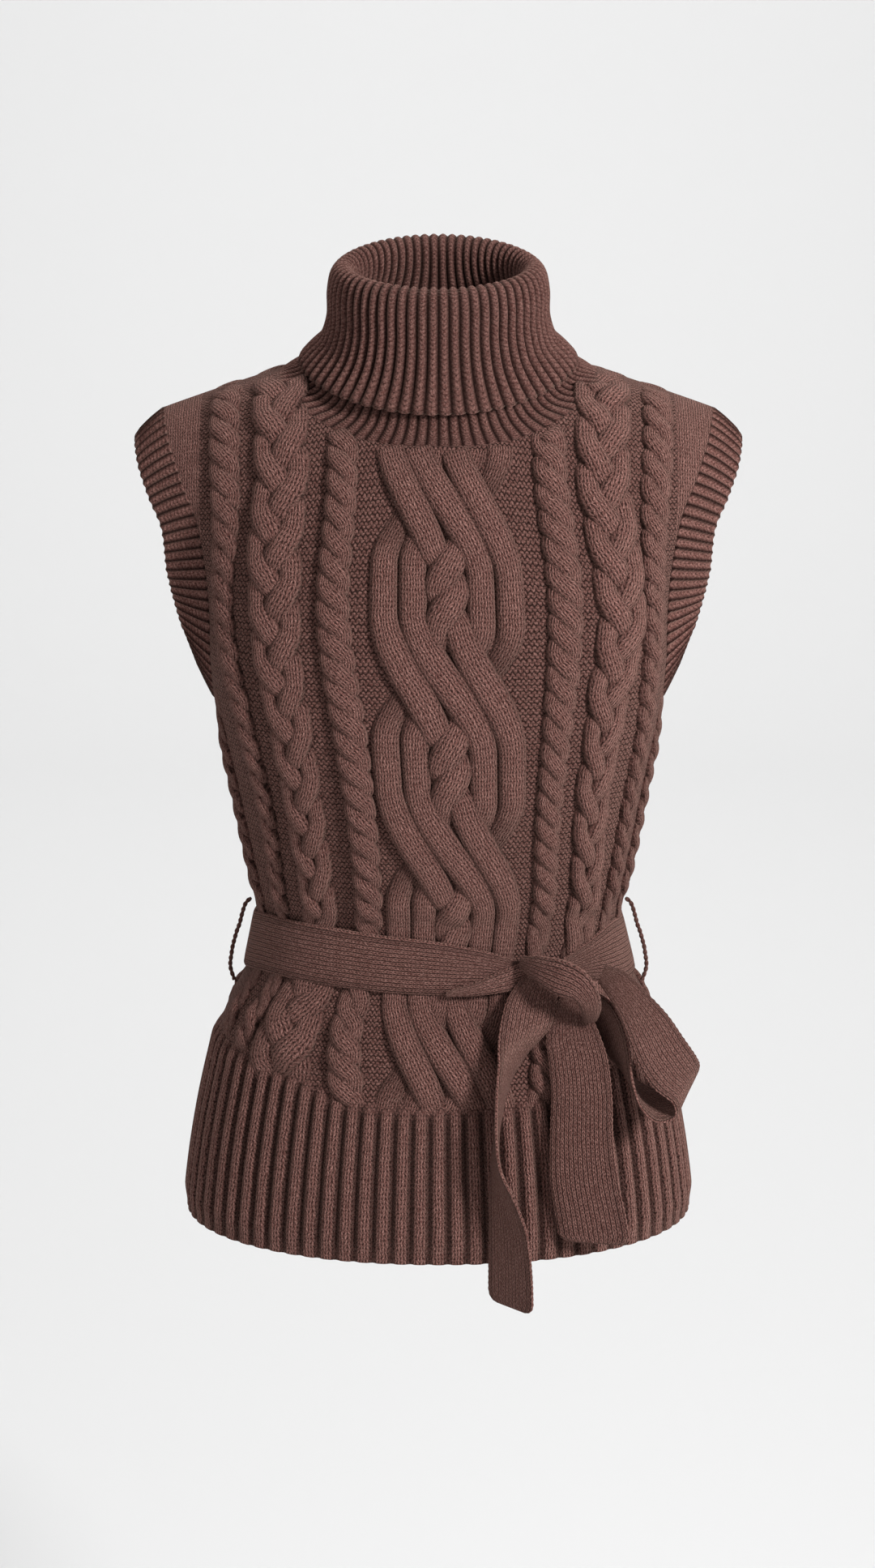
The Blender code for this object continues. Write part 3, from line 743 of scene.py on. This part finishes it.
# ---- Cables
def follow_lanes(pattern, lane, turns):
    """One strand's way: its place across the cable and its rise, over (+) or under (-)."""
    lanes = pattern["lanes"]
    across = np.full(len(turns), lanes[lane])
    rise = np.zeros(len(turns))
    for repeat in range(int(turns[0]) - 1, int(turns[-1]) + 2):
        for when, half, moves in pattern["events"]:
            if lane not in moves:
                continue
            target, passes = moves[lane]
            span = half if passes > 0 else half * pattern["under_span"]
            part = np.clip((turns - repeat - when + span) / (2 * span), 0.0, 1.0)
            across += (lanes[target] - lanes[lane]) * ease(part)
            rise += passes * (4 * part * (1 - part)) ** PASS_POWER
            lane = target
    return across, rise


def strand(surface, path, normal, width, height, columns, shade):
    """A plump half tube of knit stitches along a path that lies on the ground."""
    tangent = unit(np.gradient(path, axis=0))
    across = unit(np.cross(tangent, normal))
    out = np.cross(across, tangent)
    places = np.array(STRAND_PLACES)
    dome = (1 - np.abs(places) ** STRAND_POWER) ** 0.5
    closed = np.zeros(len(path))
    closed[[0, -1]] = 1.0
    height = height * (1 - closed)
    sunk = np.maximum(closed[:, None], np.abs(places) == 1.0)
    rise = height[:, None] * dome - STRAND_SINK * sunk
    grid = path[:, None] + (width / 2)[:, None, None] * places[None, :, None] * across[:, None]
    grid = grid + rise[..., None] * out[:, None]
    edge_shade = STRAND_EDGE_SHADE + (1 - STRAND_EDGE_SHADE) * dome**STRAND_SHADE_POWER
    stitches = count_stitches((places + 1) / 2 * columns, -lengths(path))
    surface.add(grid, stitches, shade=shade[:, None] * edge_shade)


def cable(surface, side, pattern, top, bottom, phase, fullness, rows):
    """All the strands of one cable from its top level down to its bottom level."""
    levels = np.arange(top, bottom, -LATTICE_LEVEL_STEP)
    axis = read_table(rows, 1, levels)
    along = lengths(side.place(axis, levels, 0.0))
    at = np.linspace(0.0, along[-1], int(along[-1] / STRAND_STEP))
    levels = np.interp(at, along, levels)
    axis = np.interp(at, along, axis)
    arc = side.half_arc(levels)
    scale = read_table(rows, 2, levels) * (arc / CHEST_ARC) ** CABLE_NARROWING
    press = pressed(levels) * fullness
    hem_end = ease((levels - bottom) / CABLE_FADE)
    left, fade = FRONT_SHOULDER if side.front else BACK_SHOULDER
    ends = hem_end * (left + (1 - left) * ease((top - levels) / fade))
    plumpness = press * (CABLE_END + (1 - CABLE_END) * ends)
    slack = BELT_SLACK * ease((BELT_MIDDLE - levels) / BELT_REACH + 0.5)
    turns = (at - slack) / pattern["repeat"] + phase
    for lane in range(len(pattern["lanes"])):
        across, rise = follow_lanes(pattern, lane, turns)
        share = axis + across * scale / arc
        lift = np.where(rise > 0, OVER_LIFT, UNDER_DROP) * rise * press
        path = side.place(share, levels, GROUND_LIFT + lift * ends - (1 - ends) * STRAND_SINK)
        norm = side.neck_norm(share, levels)
        neck_end = CABLE_END + (1 - CABLE_END) * ease((norm - 1.0) / NECK_FADE)
        inside = (norm > 1.0) & (np.abs(share) < armhole_share(levels) - ARMHOLE_MARGIN)
        if inside.sum() < FEWEST_STEPS:
            continue
        keep = slice(int(np.argmax(inside)), len(at))
        strand(
            surface,
            path[keep],
            side.normal(share, levels)[keep],
            (pattern["width"] * scale * (1 + OVER_SPREAD * np.maximum(rise, 0.0)))[keep],
            (pattern["height"] * plumpness * neck_end)[keep],
            pattern["columns"],
            1.0 + UNDER_SHADE * np.minimum(rise, 0.0)[keep],
        )


def cables(name, side):
    surface = Surface()
    for row in CABLES:
        cable(surface, side, *row)
    return surface.build(name)


# ---- Collar
def neck_ring(sides):
    """The neck seam as angles round the neck and points, from the back round the left."""
    turns = np.linspace(0.0, math.pi, NECK_SAMPLES)
    across = -np.copysign(np.abs(np.cos(turns)) ** (2 / NECK_POWER), np.cos(turns))
    drop = np.sin(turns) ** (2 / NECK_POWER)
    front, back = (
        side.place(NECK_SHARE * across, ROLL - (ROLL - side.neck_level) * drop, GROUND_LIFT)
        for side in sides
    )
    seam = np.concatenate([front, back[::-1][1:-1]])
    depth = np.where(seam[:, 1] < 0, -seam[:, 1].min(), seam[:, 1].max())
    angles = np.arctan2(seam[:, 0] / seam[:, 0].max(), -seam[:, 1] / depth)
    order = np.argsort(angles)
    return angles[order], seam[order]


def collar_points(seam, angles, rings):
    """Points of the collar by the angle round the neck and the number of the ring."""
    forward = np.maximum(np.cos(angles), 0.0)
    backward = np.maximum(-np.cos(angles), 0.0)
    stations = [read_line(angles, *seam, period=2 * math.pi)]
    for half_width, front_y, back_y, front_z, side_z, back_z in COLLAR_RINGS:
        x = half_width * np.sin(angles)
        y = front_y * forward + back_y * backward
        z = side_z + (front_z - side_z) * forward**COLLAR_TILT_POWER
        z += (back_z - side_z) * backward**COLLAR_TILT_POWER
        stations.append(np.stack([x, y, z], axis=1))
    return on_curve(stations, rings)


def ribbed_ring(surface, grid, ribs, relief, outward, row, tone_and_shade=1.0, tube=False):
    """Adds rows of closed rings, whose ribs are round cords between sharp grooves."""
    phase = np.arange(ribs * RIB_SAMPLES + 1) / RIB_SAMPLES
    cord = np.abs(np.sin(math.pi * phase[:-1])) ** CORD_POWER
    height = cord * relief[:, None] - RIB_CENTRING * relief[:, None]
    round_ring = np.roll(grid, -1, axis=1) - np.roll(grid, 1, axis=1)
    normals = unit(np.cross(round_ring, np.gradient(grid, axis=0)))
    moved = grid + (outward * height)[..., None] * normals
    run = np.concatenate([grid[:, 0], grid[:1, 0]]) if tube else grid[:, 0]
    stitches = count_stitches(phase, outward * lengths(run), row)
    # painted shade: the colour darkens into the grooves between the cords, and all over on the
    # collar
    surface.add(moved, stitches, shade=tone_and_shade * cord, ring=True, tube=tube, flip=outward < 0)


def collar(sides):
    """The neckband, and the folded collar that stands out of it."""
    seam = neck_ring(sides)
    surface = Surface()
    angles = np.linspace(-math.pi, math.pi, NECKBAND_RIBS * RIB_SAMPLES + 1)[:-1]
    rings = np.linspace(0.0, NECKBAND_TOP_RING, NECKBAND_ROWS)
    band = collar_points(seam, angles, rings)
    relief = NECKBAND_RIB_HEIGHT * ease(np.linspace(*NECKBAND_SWELL, NECKBAND_ROWS))
    ribbed_ring(surface, band, NECKBAND_RIBS, relief, 1.0, COLLAR_STITCH_ROW, COLLAR_PAINTED_SHADE)
    angles = np.linspace(-math.pi, math.pi, COLLAR_RIBS * RIB_SAMPLES + 1)[:-1]
    rings = np.linspace(FOLD_BOTTOM_RING, len(COLLAR_RINGS), FOLD_SAMPLES)
    along = lengths(collar_points(seam, angles[:1], rings)[:, 0])
    at = np.linspace(0.0, along[-1], int(along[-1] / COLLAR_ROW))
    rings = np.interp(at, along, rings)
    fold = collar_points(seam, angles, rings)
    relief = COLLAR_RIB_HEIGHT * read_table(COLLAR_RELIEF, 1, rings)
    ribbed_ring(surface, fold, COLLAR_RIBS, relief, -1.0, COLLAR_STITCH_ROW, COLLAR_PAINTED_SHADE)
    return surface.build("collar_rib")


# ---- Armhole bands
def arm_ring(sides, sign):
    """An armhole seam from the underarm up the front and down the back, evenly sampled."""
    rows = np.linspace(0.0, 1.0, ARM_SAMPLES) ** ARM_SPACING
    levels = ARMHOLE[0][0] + (ROLL - ARMHOLE[0][0]) * rows
    shares = sign * read_table(ARMHOLE, 1, levels)
    front, back = (side.place(shares, levels, GROUND_LIFT) for side in sides)
    seam = np.concatenate([front, back[::-1]])
    along = lengths(seam)
    at = np.linspace(0.0, along[-1], BAND_RIBS * RIB_SAMPLES + 1)[:-1]
    return read_line(at, along, seam), front[-1], front[0]


def armhole_band(name, sides, sign):
    """A ribbed strip all round an armhole, closed over its outer edge and its inside."""
    seam, top, bottom = arm_ring(sides, sign)
    spoke = seam - (top + bottom) / 2
    up = spoke[:, 2] / np.abs(spoke[:, 2]).max()
    fore = spoke[:, 1] / np.abs(spoke[:, 1]).max()
    rise = np.maximum((up - BAND_DROP_START) / (1 - BAND_DROP_START), 0.0)
    drop = BAND_DROP * rise**BAND_DROP_POWER
    lift = BAND_UNDERARM_LIFT * np.maximum(-up, 0.0) ** BAND_UNDERARM_POWER
    turn = -BAND_TURN_BACK * fore * (1 + BAND_UNDERARM_TURN * np.maximum(-up, 0.0))
    out = unit(np.stack([np.full(len(seam), sign), turn, lift - drop], axis=1))
    out = out * (BAND_WIDTH * (1 - BAND_NARROWING * ease(2 * up)))[:, None]
    rows = []
    for share in np.linspace(0.0, 1.0, int(BAND_WIDTH / BAND_ROW)):
        curl = BAND_CURL * math.sin(math.pi * share)
        rows.append(seam + share * out + curl * unit(spoke))
    inner = seam - unit(spoke) * BAND_THICKNESS
    edge_out, edge_in = rows[-1], inner + out
    middle, half = (edge_out + edge_in) / 2, (edge_out - edge_in) / 2
    for angle in np.linspace(0.0, math.pi, BAND_TURN_STEPS)[1:-1]:
        bulge = BAND_THICKNESS / 2 * math.sin(angle)
        rows.append(middle + half * math.cos(angle) + bulge * unit(out))
    for share in np.linspace(1.0, 0.0, BAND_INSIDE_ROWS):
        rows.append(inner + share * out)
    grid = np.array(rows)
    surface = Surface()
    relief = np.full(len(grid), BAND_RIB_HEIGHT)
    relief[0] = 0.0
    relief[-BAND_EDGE_ROWS:] *= BAND_EDGE_RELIEF
    ribbed_ring(surface, grid, BAND_RIBS, relief, sign, ROW, tube=True)
    return surface.build(name)


# ---- Belt
def ribbon(surface, path, across, out, thickness=BELT, flatness=BELT_FLATNESS, corner=0.0):
    """A strip of belt with round edges. across is its whole width at every point."""
    along = lengths(path)
    width = np.linalg.norm(across, axis=1)
    end = np.clip(1 - (along[-1] - along) / max(corner, 1e-6), 0.0, 1.0)
    cut_off = 2 * corner * (1 - np.sqrt(1 - end**2)) / width
    thin = np.sqrt(1 - end**4)
    places = np.sin(np.linspace(-math.pi / 2, math.pi / 2, BELT_ACROSS)) / 2
    inset = 1 - np.abs(2 * places)
    edge = np.exp(-((inset / EDGE_PLACE - 1) ** 2) / EDGE_SPREAD)
    groove = np.exp(-((inset / GROOVE_PLACE - 1) ** 2) / EDGE_SPREAD)
    depth = thickness / 2 * np.sqrt(np.maximum(1 - np.abs(2 * places) ** flatness, 0.0))
    depth = depth * (1 + EDGE_FULLNESS * edge)
    shade = 1 - EDGE_SHADE * groove
    around = np.concatenate([places, places[::-1][1:-1]])
    height = np.concatenate([depth, -depth[::-1][1:-1]])
    scallop = 1 + SCALLOP / width * np.sin(2 * math.pi * along / SCALLOP_LENGTH)
    spread = ((1 - cut_off) * scallop)[:, None] * across
    grid = path[:, None] + around[None, :, None] * spread[:, None]
    grid = grid + (thin[:, None] * height[None])[..., None] * out[:, None]
    u = np.concatenate([around, around[:1]]) * width.max() / BELT_COLUMN
    shade = np.concatenate([shade, shade[::-1][1:-1]])
    surface.add(grid, count_stitches(u, along, BELT_ROW), shade=shade, ring=True)


def lap_points(sides, laps, heights, stand_off):
    """Points outside the body by their laps round the waist and their heights."""
    level = heights - CHEST
    turned = (laps + 1.0) % 4.0 - 1.0
    front = turned <= 1.0
    share = np.where(front, turned, 2.0 - turned)
    return np.where(front[..., None], *(side.place(share, level, stand_off) for side in sides))


def belt_stretch(surface, sides, laps, stand_off):
    """One stretch of the belt round the waist, from a table of its top and bottom edges."""
    turns = np.linspace(laps[0][0], laps[-1][0], int((laps[-1][0] - laps[0][0]) / LAP_STEP) + 2)
    high, low = read_table(laps, 1, turns), read_table(laps, 2, turns)
    top, path, bottom = (
        lap_points(sides, turns, heights, stand_off) for heights in (high, (high + low) / 2, low)
    )
    across = top - bottom
    ribbon(surface, path, across, unit(np.cross(np.gradient(path, axis=0), across)))


def belt_wrap(sides):
    surface = Surface()
    belt_stretch(surface, sides, BELT_LAPS, BELT_STAND_OFF)
    belt_stretch(surface, sides, BELT_FOLD, BELT_STAND_OFF + FOLD_STAND_OFF)
    return surface.build("wrap")


def placed_stretch(rows, count):
    """The path of a belt's stretch, its widths, and its turns in radians."""
    placed = smooth_rows(rows, count)
    return placed[:, :3], placed[:, 3:4], *np.radians(placed[:, 4:].T)


def belt_piece(name, *stretch, **form):
    surface = Surface()
    ribbon(surface, *stretch, **form)
    return surface.build(name)


def tail(name, rows):
    path, width, turn = placed_stretch(rows, TAIL_SAMPLES)
    across = width * np.stack([np.cos(turn), np.sin(turn), 0 * turn], axis=1)
    out = unit(np.cross(across, np.gradient(path, axis=0)))
    return belt_piece(name, path, across, out, corner=TAIL_CORNER)


def bow_loop():
    rim, width, turn, rise = placed_stretch(BOW_LOOP, LOOP_SAMPLES)
    flat = np.cos(rise)
    across = np.stack([np.cos(turn) * flat, np.sin(turn) * flat, np.sin(rise)], axis=1)
    path = rim + width / 2 * across
    out = unit(np.cross(np.gradient(path, axis=0), across))
    return belt_piece("loop", path, width * across, out)


def knot():
    path, width, turn = placed_stretch(KNOT_BAND, KNOT_SAMPLES)
    tangent = unit(np.gradient(path, axis=0))
    across = np.stack([np.cos(turn), 0 * turn, np.sin(turn)], axis=1)
    across = unit(across - (across * tangent).sum(axis=1, keepdims=True) * tangent)
    out = np.cross(tangent, across)
    return belt_piece("knot", path, across * width, out, KNOT_THICKNESS, KNOT_FLATNESS)


def thread_loop(name, sides, sign):
    """Two strands of yarn twisted round each other, standing off a side seam."""
    stand_off, height = smooth_rows(THREAD_LOOP, THREAD_SAMPLES).T
    path = sides[0].place(sign, height - CHEST, stand_off + THREAD_LIFT)
    path[:, 1] = 0.0
    along = lengths(path)
    tangent = unit(np.gradient(path, axis=0))
    fore = np.array([0.0, -1.0, 0.0])
    aside = np.cross(tangent, fore)
    around = np.linspace(0.0, 2 * math.pi, THREAD_SIDES + 1)[:-1, None]
    ring = THREAD_RADIUS * (np.cos(around) * fore + np.sin(around) * aside[:, None])
    stitches = count_stitches(np.linspace(0.0, 2.0, THREAD_SIDES + 1), along)
    surface = Surface()
    for start in (0.0, math.pi):
        turn = (along / THREAD_TWIST * math.pi + start)[:, None]
        centre = path + THREAD_OFFSET * (np.cos(turn) * fore + np.sin(turn) * aside)
        surface.add(centre[:, None] + ring, stitches, ring=True)
    return surface.build(name)


# ---- Materials
def feed(socket, value):
    """Joins a value to a socket of a node, or sets the socket to a constant."""
    if isinstance(value, Field):
        socket.id_data.links.new(value.socket, socket)
    else:
        socket.default_value = value


class Field:
    """A number or place that varies over a surface. Arithmetic on it adds shader nodes."""

    def __init__(self, socket):
        self.socket = socket

    def apply(self, operation, *others):
        made = add_node(self.socket.id_data, "Math")
        made.operation = operation
        for socket, value in zip(made.inputs, (self, *others)):
            feed(socket, value)
        return Field(made.outputs[0])

    __abs__ = partialmethod(apply, "ABSOLUTE")
    __add__ = partialmethod(apply, "ADD")
    __sub__ = partialmethod(apply, "SUBTRACT")
    __mul__ = partialmethod(apply, "MULTIPLY")
    __truediv__ = partialmethod(apply, "DIVIDE")
    __pow__ = partialmethod(apply, "POWER")
    fraction = partialmethod(apply, "FRACT")
    root = partialmethod(apply, "SQRT")
    at_least = partialmethod(apply, "MAXIMUM")
    at_most = partialmethod(apply, "MINIMUM")

    def clamped(self):
        return self.at_least(0.0).at_most(1.0)


def add_node(tree, kind, **inputs):
    made = tree.nodes.new("ShaderNode" + kind)
    for name, value in inputs.items():
        feed(made.inputs[name], value)
    return made


def noise(place, kind):
    """Noise about zero, of a kind given by its scale and detail."""
    scale, detail = kind
    tree = place.socket.id_data
    made = add_node(tree, "TexNoise", Vector=place, Scale=scale, Detail=detail)
    return Field(made.outputs["Fac"]) - 0.5


def attribute(tree, name):
    made = add_node(tree, "Attribute")
    made.attribute_name = name
    return Field(made.outputs["Fac"])


def mix_colour(tree, amount, first, second):
    """A mix of two colours, which are sockets 6 and 7 of the node."""
    made = add_node(tree, "Mix")
    made.data_type = "RGBA"
    for index, value in ((0, amount), (6, first), (7, second)):
        feed(made.inputs[index], value)
    return Field(made.outputs[2])


def mound(across, along):
    """A round bump: 1 at its middle and 0 from a distance of 1 on."""
    square = across * across + along * along
    return (square * -1.0 + 1.0).at_least(0.0).root()


def knit_height(u, v, steepness, leg_width, groove):
    """Knit stitches: two slanting legs in every column, and a groove between columns."""
    from_middle = abs(u.fraction() - 0.5)
    across = (from_middle * 4.0 - 1.0) / leg_width
    along = (v - from_middle * (2 * steepness)).fraction() * 2.0 - 1.0
    column = (from_middle * 2.0) ** GROOVE_SHARPNESS * -groove + 1.0
    return mound(across, along / KNIT_LEG_LENGTH) * column


def purl_bumps(u, v, shift, bend):
    """One half of the rows of purl bumps, which arch upwards or sag downwards."""
    across = ((u + shift).fraction() * 2.0 - 1.0) / PURL_WIDTH
    arch = across * across * bend + v
    along = ((arch + shift).fraction() * 2.0 - 1.0) / PURL_LENGTH
    return mound(across, along)


def purl_height(u, v):
    """Purl stitches: rows of wide bumps, each row half a stitch along from the last."""
    u, v = u * PURL_STRETCH, v * PURL_ROWS
    return purl_bumps(u, v, 0.0, PURL_BEND).at_least(purl_bumps(u, v, 0.5, -PURL_BEND))


def knit_material(slot):
    """Heather wool, with knit or purl stitches laid out by the UV map."""
    bump, steepness, leg_width, groove, unevenness, gap_shade, tone_and_shade = STITCHES[slot]
    material = bpy.data.materials.new(slot + "_look")
    material.use_nodes = True
    tree = material.node_tree
    shader = tree.nodes["Principled BSDF"]
    stitches = add_node(tree, "UVMap")
    stitches.uv_map = "stitches"
    parts = add_node(tree, "SeparateXYZ", Vector=Field(stitches.outputs[0]))
    body = Field(add_node(tree, "TexCoord").outputs["Object"])
    u = Field(parts.outputs[0]) + noise(body, SWAY) * unevenness
    v = Field(parts.outputs[1]) + noise(body, DRIFT) * (DRIFT_SHARE * unevenness)
    knit = knit_height(u, v, steepness, leg_width, groove)
    height = knit + (purl_height(u, v) - knit) * attribute(tree, "purl")
    fleck = (noise(body, FLECK) * FLECK_CONTRAST + FLECK_LEVEL).clamped()
    patch = (noise(body, PATCH) + 0.5).clamped() * PATCH_STRENGTH + (1 - PATCH_STRENGTH / 2)
    # painted shade: the base colour is mixed towards the yarn's darkest colour in the gaps between
    # stitch legs, in the hollows that the shade attribute marks, and by each piece's darkening
    # (painted shade on the rib knit, the yarn cord's own darker colour); the patches are the
    # yarn's own uneven colour
    light = (height.clamped() * gap_shade + (1 - gap_shade)) * tone_and_shade
    light = (light * patch * attribute(tree, "shade")).clamped()
    colour = mix_colour(tree, fleck, YARN, YARN_LIGHT)
    feed(shader.inputs["Base Color"], mix_colour(tree, light, YARN_SHADE_AND_DARK_TONE, colour))
    for name, value in YARN_SHADER.items():
        shader.inputs[name].default_value = value
    fuzzy = noise(body, FIBRE) * FIBRE_BUMP + height
    bumped = add_node(tree, "Bump", Height=fuzzy, Distance=bump, Strength=1.0)
    feed(shader.inputs["Normal"], Field(bumped.outputs[0]))
    return material


# ---- Studio
def aim(made, place, target):
    """Puts a light or a camera at its place, facing a target."""
    made.location = place
    way = np.array(target) - np.array(made.location)
    tilt = math.atan2(math.hypot(way[0], way[1]), -way[2])
    made.rotation_euler = (tilt, 0.0, math.atan2(way[1], way[0]) - math.pi / 2)


def area_light(name, place, target, size, power):
    light = bpy.data.lights.new(name, "AREA")
    light.shape = "DISK"
    light.size = size
    light.energy = power
    made = new_object(name, light)
    aim(made, place, target)


def studio():
    world = bpy.data.worlds.new("studio")
    world.use_nodes = True
    background = world.node_tree.nodes["Background"]
    background.inputs["Color"].default_value = (1.0, 1.0, 1.0, 1.0)
    background.inputs["Strength"].default_value = WORLD_LIGHT
    bpy.context.scene.world = world
    backdrop()
    for name, light in LIGHTS.items():
        area_light(name, *light)


def backdrop():
    """A pale floor that curves up into a wall behind."""
    run = [(-BACKDROP_REACH, FLOOR), (CURVE_START, FLOOR)]
    run += [
        (CURVE_START + CURVE * math.sin(angle), FLOOR + CURVE * (1 - math.cos(angle)))
        for angle in np.linspace(*CURVE_TURNS)
    ]
    run.append((CURVE_START + CURVE, BACKDROP_REACH))
    points = [(x, y, z) for y, z in run for x in (-BACKDROP_REACH, BACKDROP_REACH)]
    faces = [(2 * i, 2 * i + 1, 2 * i + 3, 2 * i + 2) for i in range(len(run) - 1)]
    material = bpy.data.materials.new("backdrop")
    material.use_nodes = True
    shader = material.node_tree.nodes["Principled BSDF"]
    shader.inputs["Base Color"].default_value = BACKDROP
    shader.inputs["Roughness"].default_value = BACKDROP_ROUGHNESS
    mesh = bpy.data.meshes.new("backdrop")
    mesh.from_pydata(points, [], faces)
    mesh.shade_smooth()
    mesh.materials.append(material)
    made = new_object("backdrop", mesh)


def camera():
    data = bpy.data.cameras.new("camera")
    data.sensor_height = SENSOR
    data.sensor_fit = "VERTICAL"
    data.lens = LENS
    made = new_object("camera", data)
    aim(made, CAMERA_PLACE, CAMERA_TARGET)
    bpy.context.scene.camera = made


def main():
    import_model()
    looks = {slot: knit_material(slot) for slot in STITCHES}
    front_side, back_side = sides = BodySide(True), BodySide(False)
    front, front_cables = ground("front_ground", front_side), cables("front_cables", front_side)
    back, back_cables = ground("back_ground", back_side), cables("back_cables", back_side)
    pieces = (
        (front, "front_panel", "cable_knit"),
        (front_cables, "front_panel", "cable_knit"),
        (back, "back_panel", "cable_knit"),
        (back_cables, "back_panel", "cable_knit"),
        (collar(sides), "collar", "rib_knit"),
        (armhole_band("band_left", sides, -1.0), "armhole_band_left", "rib_knit"),
        (armhole_band("band_right", sides, 1.0), "armhole_band_right", "rib_knit"),
        (belt_wrap(sides), "belt_wrap", "belt_knit"),
        (knot(), "belt_knot", "belt_knit"),
        (bow_loop(), "belt_bow_loop", "belt_knit"),
        (tail("tail_left", TAIL_LEFT), "belt_tail_left", "belt_knit"),
        (tail("tail_right", TAIL_RIGHT), "belt_tail_right", "belt_knit"),
        (thread_loop("thread_left", sides, -1.0), "belt_loop_left", "yarn_cord"),
        (thread_loop("thread_right", sides, 1.0), "belt_loop_right", "yarn_cord"),
    )
    for piece, node, slot in pieces:
        piece.data.materials.append(looks[slot])
        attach(piece, "root")
        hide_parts(node)
    studio()
    camera()
    bpy.context.scene.view_settings.view_transform = "Standard"


main()
